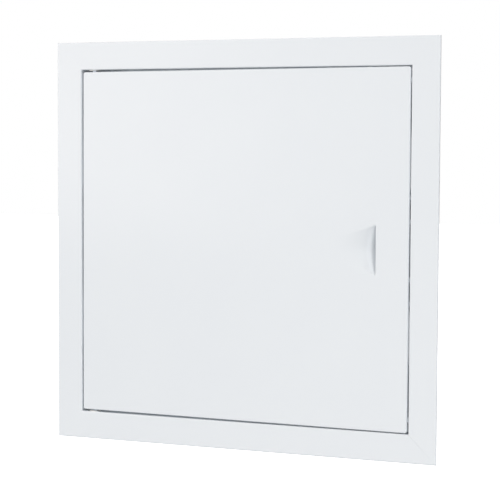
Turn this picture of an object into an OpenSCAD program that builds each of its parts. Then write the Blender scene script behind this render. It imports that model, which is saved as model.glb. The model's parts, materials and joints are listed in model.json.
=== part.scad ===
// Flush access panel: a mitred sheet-steel frame with a lift-off door that swings on a
// sprung release pin above and a fixed pivot below, and is held shut by two magnetic catches.
// X runs across the panel, Y runs into the wall and Z is up. The wall face is at Y = 0.

/* [Frame] */
// Overall width over the flange
frame_w = 350; // [320:1:500]
// Overall height over the flange
frame_h = 350; // [330:1:500]
// Width of the flange from its outer edge to the opening
flange_w = 24; // [20:0.5:30]
// Thickness of the frame sheet
frame_sheet = 1; // [0.8:0.1:1.3]
// Inside radius of the frame's bends
frame_bend_r = 0.4; // [0.2:0.1:0.8]
// Width of the closed hem along the outer edge
hem_w = 9; // [6:0.5:12]
// Width of the stop lip at the back of the collar
stop_lip_w = 12; // [10:0.5:16]
// Clear depth between the back of the door and the stop lip
stop_space = 8; // [7:0.5:14]
// Open line left at each mitre
mitre_gap = 0.1; // [0.05:0.05:0.3]

/* [Wall anchors] */
// Height of each anchor tongue's middle above or below the middle of the frame
anchor_mid = 74; // [68:1:80]
// Length of an anchor tongue
anchor_len = 47; // [40:1:50]
// Width of an anchor tongue
anchor_w = 7; // [5:0.5:8]
// Width of the lanced cut round a tongue
anchor_cut = 0.6; // [0.4:0.1:1]
// Depth of the tongue's middle behind the wall face
anchor_depth = 7.5; // [6.5:0.5:8]
// Angle that a tongue is bent out by
anchor_angle = 20; // [5:1:25]

/* [Frame fixings] */
// Distance between the two fixing holes in each side of the collar
fix_spacing = 220; // [212:1:228]
// Diameter of a fixing hole
fix_hole_d = 4.5; // [3.5:0.1:5.5]

/* [Corner brackets] */
// Length of each leg of a corner bracket
bracket_leg = 30; // [28:1:36]
// Width of the bracket strip
bracket_w = 9; // [7.5:0.5:9.5]
// Thickness of the bracket strip
bracket_t = 1.2; // [1:0.1:2]
// Distance from the corner to the first bracket rivet
bracket_rivet_in = 10; // [8:0.5:12]
// Distance between the two rivets of one leg
bracket_rivet_pitch = 12; // [8:0.5:14]

/* [Rivets] */
// Diameter of a rivet shank
rivet_d = 3; // [2.4:0.1:3.2]
// Diameter of the domed rivet head
rivet_head_d = 4.8; // [4:0.1:5.2]
// Height of the domed rivet head
rivet_head_h = 0.8; // [0.5:0.1:1]
// Diameter of the upset rivet tail
rivet_tail_d = 4.2; // [3.6:0.1:4.6]
// Height of the upset rivet tail
rivet_tail_h = 1.2; // [0.8:0.1:1.4]
// Clearance round a rivet shank
rivet_clear = 0.05; // [0.02:0.01:0.1]

/* [Door] */
// Gap all round between the door and the collar
door_gap = 1.6; // [1.5:0.1:2.2]
// Depth of the folded door pan
door_depth = 12; // [11.5:0.5:14]
// Thickness of the door sheet
door_sheet = 1; // [0.8:0.1:1.1]
// Inside radius of the door's bends
door_bend_r = 0.4; // [0.2:0.1:0.5]
// Radius of the door's corners in the face
door_corner_r = 2; // [1.6:0.1:2.2]
// Width of the lip folded in along the back of the pan
door_lip_w = 7; // [5:0.5:8]
// Width of the open mitre slit at the corners of the lip
lip_slit = 0.6; // [0.3:0.1:1]
// Length of the corner tab folded behind the latch return
tab_len = 16; // [14:0.5:20]
// Depth of the rivets in the door's returns behind its face
rivet_depth = 4; // [3.8:0.1:4.4]
// Distance from the door's top or bottom edge to its first return rivet
rivet_edge = 10.5; // [9.5:0.5:12]

/* [Finger pull] */
// Distance from the door's latch edge to the slit of the pull
pull_inset = 28; // [26:1:40]
// Length of the slit
pull_h = 41; // [34:1:46]
// Length of the scoop from the slit to where it runs out
pull_len = 37; // [32:1:48]
// Distance from the slit to the point that the scoop's rims head for
pull_apex = 59; // [52:1:70]
// Depth of the scoop at the slit
pull_depth = 6.8; // [6:0.2:8]
// Power by which the scoop's keel rises from the slit
pull_curve = 1.8; // [1:0.1:2.4]
// Rounding of the scoop's keel, as a share of its half width
pull_keel = 0.3; // [0.2:0.05:0.6]

/* [Pivots] */
// Distance from the door's hinge edge to the pivot axis
pivot_inset = 9; // [8.8:0.1:10]
// Depth of the pivot axis behind the door's face
pivot_depth = 5.5; // [5.4:0.1:5.8]
// Diameter of both pivot pins
pin_d = 5; // [4:0.1:5]
// Running clearance round a pivot pin
pin_clear = 0.05; // [0.03:0.01:0.1]
// Length of pin that engages behind the collar's inner face
pin_engage = 5; // [4:0.5:6]
// Outside diameter of a bush in the collar
bush_d = 7.2; // [6.8:0.1:7.4]
// Diameter of the bush's flange
bush_flange_d = 10; // [9.6:0.1:11]
// Thickness of the bush's flange
bush_flange_t = 1; // [0.8:0.1:1]
// Clearance round the body of a bush
bush_clear = 0.05; // [0.02:0.01:0.1]
// Height of the ridge that snaps behind the collar sheet
bush_ridge = 0.4; // [0.2:0.1:0.4]
// Diameter of the pivot washer
washer_d = 9; // [8:0.5:10]
// Gap between the pivot washer and the flange of the lower bush
washer_gap = 0.1; // [0.05:0.05:0.2]
// Diameter of the lower pin's head
pin_head_d = 7.5; // [6.5:0.5:8]
// Height of the lower pin's head
pin_head_h = 1.5; // [1:0.1:2.5]
// Chamfer at the free ends of the pins
pin_nose = 0.7; // [0.3:0.1:1]

/* [Hinge brackets] */
// Thickness of the hinge brackets
hinge_t = 1.5; // [1:0.1:1.6]
// Inside radius of the hinge brackets' bends
hinge_bend_r = 0.6; // [0.5:0.1:1]
// Height of the hinge brackets
hinge_h = 23; // [22:0.5:28]
// Radius of the brackets' ears round the pivot axis
ear_r = 4; // [3.8:0.1:4]
// Distance between the two rivets of a hinge bracket
hinge_rivet_pitch = 8; // [6:0.5:8]

/* [Release pin] */
// Spare travel once the pin has left its bush
pin_spare = 0.5; // [0.3:0.1:1]
// Length of straight pin below the hinge bracket
pin_drop = 14; // [13:0.5:20]
// Radius of the pin's bend at its axis
pin_bend_r = 6; // [5:0.5:8]
// Length of the straight pull tail
tail_len = 22; // [16:1:30]
// Outside diameter of the retaining clip
clip_d = 8; // [7.4:0.1:8.2]
// Thickness of the retaining clip
clip_t = 1; // [0.8:0.1:1.2]
// Depth of the clip's groove in the pin
clip_groove = 0.5; // [0.3:0.05:0.6]
// Width of the slot that the clip is pushed on by
clip_slot = 3.2; // [2.4:0.1:3.2]
// Clearance between the clip and its neighbours
clip_clear = 0.05; // [0.02:0.01:0.1]
// Diameter of the spring wire
spring_wire_d = 0.9; // [0.6:0.05:1]
// Mean diameter of the spring
spring_mean_d = 7; // [6.6:0.1:7]
// Number of turns, with one closed turn at each end
spring_turns = 8; // [6:1:9]
// Gap left at each end of the spring
spring_end_gap = 0.05; // [0.02:0.01:0.1]

/* [Magnetic catches] */
// Height of each catch's middle above or below the middle of the door
catch_mid = 33.5; // [32:0.5:36]
// Distance between the two rivets of a catch
catch_rivet_pitch = 19.7; // [19:0.1:21]
// Thickness of the catch's mounting foot
catch_foot_t = 2; // [1.5:0.1:2.5]
// Length of the catch's mounting foot
catch_foot_len = 27; // [26:0.5:29]
// Depth of the catch's mounting foot
catch_foot_depth = 6.5; // [5.5:0.5:7]
// Height of the catch's body
catch_body_h = 13; // [12:0.5:14]
// Length of the magnet along the door's depth
magnet_len = 11; // [8:0.5:11.5]
// Height of the magnet and its pole plates
magnet_h = 9.6; // [8:0.1:10]
// Thickness of the magnet between its pole plates
magnet_t = 4.5; // [3:0.1:5]
// Thickness of a pole plate
pole_t = 1.2; // [0.8:0.1:1.4]
// Side wall of the catch's body
catch_wall = 1.5; // [1.2:0.1:2]
// Radius of the catch's moulded corners
catch_corner_r = 1.2; // [0.4:0.1:1.5]
// Clearance round the magnet and its pole plates
magnet_clear = 0.05; // [0.02:0.01:0.1]
// Length of pole plate that stands out of the catch's body
pole_stand = 1.1; // [0.8:0.1:1.6]
// Air gap between the pole plates and the stop lip
pole_gap = 0.3; // [0.2:0.1:0.8]
// Room round a catch in the notch of the door's lip
notch_room = 1; // [0.5:0.1:2]

/* [Hidden] */
$fn = 48;
WHITE_COAT = "#eceef0";
ZINC = "#b9bdc2";
NYLON = "#f3f3ee";
FERRITE = "#3a3a3d";
// Overlap that makes a cut or a join clean
eps = 0.05;
// Length that carries a cut well past its piece
past = 1;

// Frame: the hem makes the flange two sheets thick, so its front and the door's face lie here
face_y = -2 * frame_sheet;
open_w = frame_w - 2 * flange_w;
open_h = frame_h - 2 * flange_w;
frame_outer_r = frame_bend_r + frame_sheet;
door_back_y = face_y + door_depth;
lip_front_y = door_back_y + stop_space;
collar_back_y = lip_front_y + frame_sheet;
fix_y = door_back_y + stop_space / 2;
bracket_mid_y = collar_back_y - frame_outer_r - bracket_w / 2;

// Door
door_w = open_w - 2 * door_gap;
door_h = open_h - 2 * door_gap;
door_mid_y = face_y + door_depth / 2;
door_outer_r = door_bend_r + door_sheet;
return_x = door_w / 2 - door_sheet;
return_z = door_h / 2 - door_sheet;
rivet_y = face_y + rivet_depth;
rivet_z = door_h / 2 - rivet_edge;
tab_front_y = face_y + door_outer_r;
tab_back_y = door_back_y - 2 * door_outer_r;

// Finger pull
pull_x = door_w / 2 - pull_inset;

// Pivots
pivot_x = -door_w / 2 + pivot_inset;
pivot_y = face_y + pivot_depth;
pin_r = pin_d / 2;
bore_r = pin_r + pin_clear;
pin_tip_z = open_h / 2 + pin_engage;
washer_t = door_gap - bush_flange_t - washer_gap;
hinge_outer_r = hinge_t + hinge_bend_r;
lower_ear_top_z = return_z - hinge_h + hinge_t;
upper_ear_under_z = return_z - hinge_t;
clip_top_z = upper_ear_under_z - clip_clear;
spring_foot_z = lower_ear_top_z + spring_end_gap;
spring_len = clip_top_z - clip_t - spring_end_gap - spring_foot_z;
pin_travel = pin_engage + bush_flange_t + pin_spare;
pin_bend_z = return_z - hinge_h - pin_drop + pin_bend_r;

// Magnetic catches
catch_back_y = lip_front_y - pole_gap - pole_stand;
catch_front_y = catch_back_y - magnet_len - catch_wall;
pocket_w = magnet_t + 2 * pole_t + 4 * magnet_clear;
catch_body_w = pocket_w + 2 * catch_wall;
pocket_x = return_x - catch_body_w / 2;
pocket_y = catch_back_y - magnet_len;

// Rounded rectangle about the origin
module rounded_rect(w, h, r) {
    square([w - 2 * r, h], center = true);
    square([w, h - 2 * r], center = true);
    for (sx = [-1, 1], sy = [-1, 1])
        translate([sx * (w / 2 - r), sy * (h / 2 - r)])
            circle(r);
}

// Quarter of a sheet bend about the origin, in the quadrant given by the two signs
module bend(inner_r, sheet, sx, sy) {
    outer_r = inner_r + sheet;
    intersection() {
        difference() {
            circle(outer_r);
            circle(inner_r);
        }
        translate([sx > 0 ? 0 : -outer_r, sy > 0 ? 0 : -outer_r])
            square(outer_r);
    }
}

// Blind rivet along +Z: the head's seat is at Z = 0 and the tail sits on the far side of the grip
module rivet(grip) {
    cap_r = (pow(rivet_head_d / 2, 2) + pow(rivet_head_h, 2)) / (2 * rivet_head_h);
    rotate_extrude() {
        intersection() {
            translate([0, cap_r - rivet_head_h])
                circle(cap_r);
            translate([0, -rivet_head_h])
                square([rivet_head_d / 2, rivet_head_h]);
        }
        square([rivet_d / 2, grip]);
        translate([0, grip])
            square([rivet_tail_d / 2, rivet_tail_h]);
    }
}

module rivet_hole(grip) {
    translate([0, 0, -past])
        cylinder(h = grip + 2 * past, r = rivet_d / 2 + rivet_clear);
}

// Section of the frame: X runs outwards from the collar's inner face, Y into the wall
module frame_section() {
    hem_nose = flange_w - frame_sheet;
    flange_from = frame_outer_r;
    translate([flange_from, face_y])
        square([hem_nose - flange_from, frame_sheet]);
    translate([flange_w - hem_w, face_y + frame_sheet - eps])
        square([hem_w - frame_sheet, frame_sheet + eps]);
    translate([hem_nose, face_y + frame_sheet])
        circle(frame_sheet);
    translate([frame_outer_r, face_y + frame_outer_r])
        bend(frame_bend_r, frame_sheet, -1, -1);
    translate([0, face_y + frame_outer_r])
        square([frame_sheet, collar_back_y - frame_outer_r - face_y - frame_outer_r]);
    translate([-frame_bend_r, lip_front_y - frame_bend_r])
        bend(frame_bend_r, frame_sheet, 1, 1);
    translate([-stop_lip_w, lip_front_y])
        square([stop_lip_w - frame_bend_r, frame_sheet]);
}

// One frame side along Z with 45 degree ends, in the same X and Y as its section
module frame_side(length) {
    reach = stop_lip_w + past;
    end_z = length / 2 - mitre_gap / sqrt(2);
    inner_end_z = end_z - flange_w - reach;
    outer_end_z = end_z + past;
    intersection() {
        linear_extrude(length, center = true)
            frame_section();
        translate([0, collar_back_y + past, 0])
            rotate([90, 0, 0])
                linear_extrude(collar_back_y - face_y + 2 * past)
                    polygon([
                        [-reach, -inner_end_z], [flange_w + past, -outer_end_z],
                        [flange_w + past, outer_end_z], [-reach, inner_end_z]
                    ]);
    }
}

// Places a side's own X, Y and Z on one of the four sides of the opening
module on_right() {
    translate([open_w / 2, 0, 0])
        children();
}

module on_left() {
    mirror([1, 0, 0])
        on_right()
            children();
}

module on_top() {
    translate([0, 0, open_h / 2])
        rotate([0, -90, 0])
            children();
}

module on_bottom() {
    mirror([0, 0, 1])
        on_top()
            children();
}

// Places along +X through the collar: the two fixing holes and the rivets of both end brackets
module fixing_holes() {
    for (s = [-1, 1])
        translate([-past, fix_y, s * fix_spacing / 2])
            rotate([0, 90, 0])
                cylinder(h = frame_sheet + 2 * past, d = fix_hole_d);
}

module at_bracket_rivets(opening) {
    for (s = [-1, 1], i = [0, 1])
        translate([0, fix_y, s * (opening / 2 - bracket_rivet_in - i * bracket_rivet_pitch)])
            rotate([0, 90, 0])
                children();
}

// Frame side with all its holes
module drilled_side(length, opening) {
    difference() {
        frame_side(length);
        fixing_holes();
        at_bracket_rivets(opening)
            rivet_hole(frame_sheet);
    }
}

// Lanced window of one anchor tongue and the tongue bent out of it, rooted at its far end
module anchor_window(s) {
    window_w = anchor_w + 2 * anchor_cut;
    window_len = anchor_len + anchor_cut;
    translate([-past, anchor_depth - window_w / 2, s * anchor_mid - window_len / 2])
        cube([frame_sheet + 2 * past, window_w, window_len]);
}

module anchor_tongue(s) {
    root_z = s * (anchor_mid + (anchor_len + anchor_cut) / 2);
    translate([0, anchor_depth - anchor_w / 2, root_z])
        rotate([0, -s * anchor_angle, 0])
            translate([0, 0, s > 0 ? -anchor_len : -frame_sheet])
                cube([frame_sheet, anchor_w, anchor_len + frame_sheet]);
}

module anchored_stile() {
    difference() {
        drilled_side(frame_h, open_h);
        for (s = [-1, 1])
            anchor_window(s);
    }
    for (s = [-1, 1])
        anchor_tongue(s);
}

// Rail along X with the hole for a pivot bush
module bushed_rail() {
    difference() {
        drilled_side(frame_w, open_w);
        translate([-past, pivot_y, -pivot_x])
            rotate([0, 90, 0])
                cylinder(h = frame_sheet + 2 * past, d = bush_d);
    }
}

module frame_latch_stile() {
    color(WHITE_COAT)
        on_right()
            anchored_stile();
}

module frame_hinge_stile() {
    color(WHITE_COAT)
        on_left()
            anchored_stile();
}

module frame_top_rail() {
    color(WHITE_COAT)
        on_top()
            bushed_rail();
}

module frame_bottom_rail() {
    color(WHITE_COAT)
        on_bottom()
            bushed_rail();
}

// Angle bracket on the outside of the collars at the corner given by the two signs
module corner_bracket(sx, sz) {
    seat_x = open_w / 2 + frame_sheet;
    seat_z = open_h / 2 + frame_sheet;
    grip = frame_sheet + bracket_t;
    color(ZINC)
        scale([sx, 1, sz])
            difference() {
                translate([seat_x, bracket_mid_y + bracket_w / 2, seat_z])
                    rotate([90, 0, 0])
                        linear_extrude(bracket_w) {
                            translate([-bracket_leg, 0])
                                square([bracket_leg, bracket_t]);
                            translate([0, -bracket_leg])
                                square([bracket_t, bracket_leg]);
                            bend(0, bracket_t, 1, 1);
                        }
                on_right()
                    at_bracket_rivets(open_h)
                        rivet_hole(grip);
                on_top()
                    at_bracket_rivets(open_w)
                        rivet_hole(grip);
            }
}

module corner_bracket_top_left() {
    corner_bracket(-1, 1);
}

module corner_bracket_top_right() {
    corner_bracket(1, 1);
}

module corner_bracket_bottom_left() {
    corner_bracket(-1, -1);
}

module corner_bracket_bottom_right() {
    corner_bracket(1, -1);
}

module frame_corner_rivets() {
    grip = frame_sheet + bracket_t;
    color(WHITE_COAT) {
        on_right()
            at_bracket_rivets(open_h)
                rivet(grip);
        on_left()
            at_bracket_rivets(open_h)
                rivet(grip);
        on_top()
            at_bracket_rivets(open_w)
                rivet(grip);
        on_bottom()
            at_bracket_rivets(open_w)
                rivet(grip);
    }
}

// Flanged bush along +Z from the collar's inner face, with a snap ridge behind the sheet
module pivot_bush() {
    body_r = bush_d / 2 - bush_clear;
    ridge_r = bush_d / 2 + bush_ridge;
    ridge_z = frame_sheet + bush_clear;
    ridge_h = frame_sheet;
    bush_end = pin_engage + frame_sheet;
    rotate_extrude()
        polygon([
            [bore_r, -bush_flange_t], [bush_flange_d / 2, -bush_flange_t], [bush_flange_d / 2, 0],
            [body_r, 0], [body_r, ridge_z], [ridge_r, ridge_z], [body_r, ridge_z + ridge_h],
            [body_r, bush_end], [bore_r, bush_end]
        ]);
}

module pivot_bush_top() {
    color(NYLON)
        translate([pivot_x, pivot_y, open_h / 2])
            pivot_bush();
}

module pivot_bush_bottom() {
    color(NYLON)
        mirror([0, 0, 1])
            translate([pivot_x, pivot_y, open_h / 2])
                pivot_bush();
}

// Block of the door pan, taken in all round by inset: three rounded prisms meet in it
module pan_block(inset, edge_r, plan_r) {
    w = door_w - 2 * inset;
    h = door_h - 2 * inset;
    d = door_depth - 2 * inset;
    translate([0, door_mid_y, 0])
        intersection() {
            linear_extrude(h, center = true)
                rounded_rect(w, d, edge_r);
            rotate([0, 90, 0])
                linear_extrude(w, center = true)
                    rounded_rect(h, d, edge_r);
            rotate([90, 0, 0])
                linear_extrude(d, center = true)
                    rounded_rect(w, h, plan_r);
        }
}

// Depth of the scoop's keel at a distance from the slit
function pull_sink(t) =
    pull_depth * (1 - t / pull_apex) * pow(1 - t / pull_len, pull_curve);

// Share of that depth across the scoop, from 1 at its keel to 0 at its rims
function pull_share(u) =
    1 - (norm([u, pull_keel]) - pull_keel) / (norm([1, pull_keel]) - pull_keel);

// Die of the finger pull, from the slit towards the hinge side: its back is the scoop, let in by some
// sheet, and its last section stands clear of the face, so that the scoop runs out in it
module pull_die(grow, front_y) {
    stations = 9;
    strips = 12;
    wide = 1.03;
    ring = strips + 1;
    last = stations * ring;
    front = last + ring;
    slit_half = wide * pull_h / 2;
    tip_half = slit_half * (1 - pull_len / pull_apex);
    back_points = [
        for (i = [0:stations], j = [0:strips])
            let (t = pull_len * i / stations,
                 u = 2 * j / strips - 1,
                 clear = i < stations ? 0 : door_sheet / 8 * (1 + u * u))
            [
                pull_x - t,
                face_y + grow - clear + pull_sink(t) * pull_share(wide * u),
                slit_half * u * (1 - t / pull_apex)
            ]
    ];
    front_points = [
        [pull_x, front_y, -slit_half],
        [pull_x, front_y, slit_half],
        [pull_x - pull_len, front_y, tip_half],
        [pull_x - pull_len, front_y, -tip_half]
    ];
    scoop_faces = [
        for (i = [0:stations - 1], j = [0:strips - 1])
            let (a = i * ring + j, b = a + ring)
            each [[a, a + 1, b + 1], [a, b + 1, b]]
    ];
    flat_faces = [
        [front, front + 1, for (j = [strips:-1:0]) j],
        [for (j = [0:strips]) last + j, front + 2, front + 3],
        [for (i = [0:stations]) i * ring, front + 3, front],
        [front + 1, front + 2, for (i = [stations:-1:0]) i * ring + strips],
        [front, front + 3, front + 2, front + 1]
    ];
    polyhedron(concat(back_points, front_points), concat(scoop_faces, flat_faces), convexity = 4);
}

// Places along +X at the latch return's outer face, and towards the pan at the hinge return
module at_latch_rivets() {
    for (s = [-1, 1])
        translate([door_w / 2, rivet_y, s * rivet_z])
            rotate([0, -90, 0])
                children();
}

module at_catch_rivets() {
    for (s = [-1, 1], t = [-1, 1])
        translate([door_w / 2, rivet_y, s * catch_mid + t * catch_rivet_pitch / 2])
            rotate([0, -90, 0])
                children();
}

module at_hinge_rivets(s) {
    for (i = [0, 1])
        translate([-door_w / 2, rivet_y, s * (rivet_z - i * hinge_rivet_pitch)])
            rotate([0, 90, 0])
                children();
}

// Tab of the top or bottom return, folded behind the latch return
module corner_tab(s) {
    translate([return_x - door_sheet, tab_front_y, s > 0 ? return_z - tab_len : -return_z - eps])
        cube([door_sheet + eps, tab_back_y - tab_front_y, tab_len + eps]);
}

// Cuts through the folded back lip: its opening, the catches' notches and the corner slits
module lip_cuts() {
    lip_y = door_back_y - door_sheet - past;
    cut_d = door_sheet + 2 * past;
    slit_from = (door_outer_r + eps) * sqrt(2);
    slit_to = (door_lip_w + past) * sqrt(2);
    notch_h = catch_foot_len + 2 * notch_room;
    lip_reach = door_lip_w - door_sheet + past;
    translate([-door_w / 2 + door_lip_w, lip_y, -door_h / 2 + door_lip_w])
        cube([door_w - 2 * door_lip_w, cut_d, door_h - 2 * door_lip_w]);
    for (s = [-1, 1])
        translate([return_x - lip_reach, lip_y, s * catch_mid - notch_h / 2])
            cube([lip_reach, cut_d, notch_h]);
    for (sx = [-1, 1], sz = [-1, 1])
        translate([sx * door_w / 2, lip_y, sz * door_h / 2])
            rotate([0, sx * sz > 0 ? (sx > 0 ? 135 : -45) : (sx > 0 ? -135 : 45), 0])
                translate([slit_from, 0, -lip_slit / 2])
                    cube([slit_to - slit_from, cut_d, lip_slit]);
}

module door_panel() {
    color(WHITE_COAT)
        difference() {
            union() {
                difference() {
                    pan_block(0, door_outer_r, door_corner_r);
                    pan_block(door_sheet, door_bend_r, door_corner_r - door_sheet);
                    lip_cuts();
                }
                pull_die(door_sheet, face_y + door_sheet / 2);
                for (s = [-1, 1])
                    corner_tab(s);
            }
            pull_die(0, face_y - past);
            at_latch_rivets()
                rivet_hole(2 * door_sheet);
            at_catch_rivets()
                rivet_hole(door_sheet);
            for (s = [-1, 1])
                at_hinge_rivets(s)
                    rivet_hole(door_sheet);
            for (s = [-1, 1])
                translate([pivot_x, pivot_y, s * door_h / 2])
                    cylinder(h = 2 * door_sheet + past, r = bore_r + pin_clear, center = true);
        }
}

module door_corner_rivets() {
    color(WHITE_COAT)
        at_latch_rivets()
            rivet(2 * door_sheet);
}

// Plan of a hinge bracket: straight sides from the hinge return and a round end about the axis
module bracket_plan() {
    linear_extrude(door_h, center = true) {
        translate([-return_x, pivot_y - ear_r])
            square([pivot_x + return_x, 2 * ear_r]);
        translate([pivot_x, pivot_y])
            circle(ear_r);
    }
}

// Profile of a hinge bracket with its back on Y and an ear along X at the top
module bracket_ear_profile(back_h) {
    ear_len = pivot_inset - door_sheet + ear_r;
    translate([hinge_outer_r, -hinge_t])
        square([ear_len - hinge_outer_r, hinge_t]);
    translate([hinge_outer_r, -hinge_outer_r])
        bend(hinge_bend_r, hinge_t, -1, 1);
    translate([0, -back_h])
        square([hinge_t, back_h - hinge_outer_r]);
}

module hinge_bracket() {
    color(ZINC)
        difference() {
            intersection() {
                bracket_plan();
                translate([-return_x, pivot_y + ear_r, return_z])
                    rotate([90, 0, 0])
                        linear_extrude(2 * ear_r) {
                            bracket_ear_profile(hinge_h / 2);
                            translate([0, -hinge_h])
                                mirror([0, 1])
                                    bracket_ear_profile(hinge_h / 2);
                        }
            }
            translate([pivot_x, pivot_y, 0])
                cylinder(h = door_h, r = bore_r);
            at_hinge_rivets(1)
                rivet_hole(door_sheet + hinge_t);
        }
}

module hinge_bracket_rivets() {
    color(WHITE_COAT)
        at_hinge_rivets(1)
            rivet(door_sheet + hinge_t);
}

module lower_pivot_bracket() {
    color(ZINC)
        difference() {
            intersection() {
                bracket_plan();
                mirror([0, 0, 1])
                    translate([-return_x, pivot_y + ear_r, return_z])
                        rotate([90, 0, 0])
                            linear_extrude(2 * ear_r)
                                bracket_ear_profile(hinge_h);
            }
            translate([pivot_x, pivot_y, -door_h])
                cylinder(h = door_h, r = bore_r);
            at_hinge_rivets(-1)
                rivet_hole(door_sheet + hinge_t);
        }
}

module lower_bracket_rivets() {
    color(WHITE_COAT)
        at_hinge_rivets(-1)
            rivet(door_sheet + hinge_t);
}

// Headed pin that drops through the lower bracket, the return and the washer into its bush
module lower_pivot_pin() {
    seat_z = -return_z + hinge_t;
    head_z = seat_z + pin_head_h;
    color(ZINC)
        translate([pivot_x, pivot_y, 0])
            rotate_extrude()
                polygon([
                    [0, head_z], [pin_head_d / 2, head_z], [pin_head_d / 2, seat_z], [pin_r, seat_z],
                    [pin_r, -pin_tip_z + pin_nose], [pin_r - pin_nose, -pin_tip_z], [0, -pin_tip_z]
                ]);
}

module pivot_washer() {
    color(ZINC)
        translate([pivot_x, pivot_y, -door_h / 2 - washer_t])
            difference() {
                cylinder(h = washer_t, d = washer_d);
                translate([0, 0, -past])
                    cylinder(h = washer_t + 2 * past, r = bore_r);
            }
}

// Bent pin: a straight shank with a clip groove, a quarter bend and a pull tail along X
module release_pin() {
    groove_r = pin_r - clip_groove;
    groove_top = clip_top_z + clip_clear;
    groove_foot = clip_top_z - clip_t - clip_clear;
    color(ZINC)
        translate([pivot_x, pivot_y, 0]) {
            rotate_extrude()
                polygon([
                    [0, pin_tip_z], [pin_r - pin_nose, pin_tip_z], [pin_r, pin_tip_z - pin_nose],
                    [pin_r, groove_top], [groove_r, groove_top],
                    [groove_r, groove_foot], [pin_r, groove_foot],
                    [pin_r, pin_bend_z], [0, pin_bend_z]
                ]);
            translate([pin_bend_r, 0, pin_bend_z])
                rotate([90, 0, 0])
                    rotate([0, 0, 180])
                        rotate_extrude(angle = 90)
                            translate([pin_bend_r, 0])
                                circle(pin_r);
            translate([pin_bend_r, 0, pin_bend_z - pin_bend_r])
                rotate([0, 90, 0])
                    rotate_extrude()
                        polygon([
                            [0, 0], [pin_r, 0], [pin_r, tail_len - pin_nose],
                            [pin_r - pin_nose, tail_len], [0, tail_len]
                        ]);
        }
}

// Slotted ring that snaps into the pin's groove from the side
module pin_clip() {
    inner_r = pin_r - clip_groove + clip_clear;
    color(ZINC)
        translate([pivot_x, pivot_y, clip_top_z - clip_t])
            linear_extrude(clip_t)
                difference() {
                    circle(d = clip_d);
                    circle(inner_r);
                    translate([0, -clip_slot / 2])
                        square([clip_d, clip_slot]);
                }
}

// Height of a spring's wire after some turns: the first and the last turn are closed
function spring_height(turn, pitch) =
    spring_wire_d / 2
    + spring_wire_d * min(turn, 1)
    + pitch * max(0, min(turn - 1, spring_turns - 2))
    + spring_wire_d * max(0, turn - spring_turns + 1);

module pin_spring() {
    sides = 8;
    steps = 20;
    last = spring_turns * steps;
    pitch = (spring_len - 3 * spring_wire_d) / (spring_turns - 2);
    points = [
        for (i = [0:last], k = [0:sides - 1])
            let (a = 360 * i / steps, b = 360 * k / sides,
                 r = spring_mean_d / 2 + spring_wire_d / 2 * cos(b))
            [r * cos(a), r * sin(a), spring_height(i / steps, pitch) + spring_wire_d / 2 * sin(b)]
    ];
    side_faces = [
        for (i = [0:last - 1], k = [0:sides - 1])
            let (n = (k + 1) % sides)
            [i * sides + k, i * sides + n, (i + 1) * sides + n, (i + 1) * sides + k]
    ];
    end_faces = [
        [for (k = [sides - 1:-1:0]) k],
        [for (k = [0:sides - 1]) last * sides + k]
    ];
    color(ZINC)
        translate([pivot_x, pivot_y, spring_foot_z])
            polyhedron(points, concat(side_faces, end_faces), convexity = 10);
}

// Section of a catch's body, rounded on the side that faces the room behind the door
module catch_body_plan() {
    rounded_rect(catch_body_w, catch_body_h, catch_corner_r);
    translate([0, -catch_body_h / 2])
        square([catch_body_w / 2, catch_body_h]);
}

// Catch body with a riveted foot on the latch return and a pocket open towards the stop lip
module magnet_housing(s) {
    foot_front_y = face_y + door_outer_r;
    pocket_h = magnet_h + 2 * magnet_clear;
    color(NYLON)
        difference() {
            translate([0, 0, s * catch_mid])
                union() {
                    translate([return_x - catch_foot_t, foot_front_y + catch_foot_depth / 2, 0])
                        rotate([90, 0, 90])
                            linear_extrude(catch_foot_t)
                                rounded_rect(catch_foot_depth, catch_foot_len, catch_corner_r);
                    translate([return_x - catch_body_w / 2, catch_back_y, 0])
                        rotate([90, 0, 0])
                            linear_extrude(catch_back_y - catch_front_y)
                                catch_body_plan();
                }
            translate([pocket_x - pocket_w / 2, pocket_y, s * catch_mid - pocket_h / 2])
                cube([pocket_w, magnet_len + past, pocket_h]);
            at_catch_rivets()
                rivet_hole(door_sheet + catch_foot_t);
        }
}

module magnet_housing_upper() {
    magnet_housing(1);
}

module magnet_housing_lower() {
    magnet_housing(-1);
}

module catch_magnet(s) {
    color(FERRITE)
        translate([pocket_x - magnet_t / 2, pocket_y, s * catch_mid - magnet_h / 2])
            cube([magnet_t, magnet_len, magnet_h]);
}

module magnet_upper() {
    catch_magnet(1);
}

module magnet_lower() {
    catch_magnet(-1);
}

module pole_plates(s) {
    offset_x = magnet_t / 2 + magnet_clear + pole_t / 2;
    color(ZINC)
        for (side = [-1, 1])
            translate([pocket_x + side * offset_x - pole_t / 2, pocket_y, s * catch_mid - magnet_h / 2])
                cube([pole_t, magnet_len + pole_stand, magnet_h]);
}

module pole_plates_upper() {
    pole_plates(1);
}

module pole_plates_lower() {
    pole_plates(-1);
}

module magnet_rivets() {
    color(WHITE_COAT)
        at_catch_rivets()
            rivet(door_sheet + catch_foot_t);
}

frame_top_rail();
frame_bottom_rail();
frame_hinge_stile();
frame_latch_stile();
corner_bracket_top_left();
corner_bracket_top_right();
corner_bracket_bottom_left();
corner_bracket_bottom_right();
frame_corner_rivets();
pivot_bush_top();
pivot_bush_bottom();
door_panel();
door_corner_rivets();
hinge_bracket();
hinge_bracket_rivets();
lower_pivot_bracket();
lower_bracket_rivets();
lower_pivot_pin();
pivot_washer();
magnet_housing_upper();
magnet_housing_lower();
magnet_upper();
magnet_lower();
pole_plates_upper();
pole_plates_lower();
magnet_rivets();
release_pin();
pin_clip();
pin_spring();
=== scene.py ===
"""Flush access panel: the finished look of a white sheet-steel door, its frame, hinge pins and catches."""
import json
import math

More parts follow.
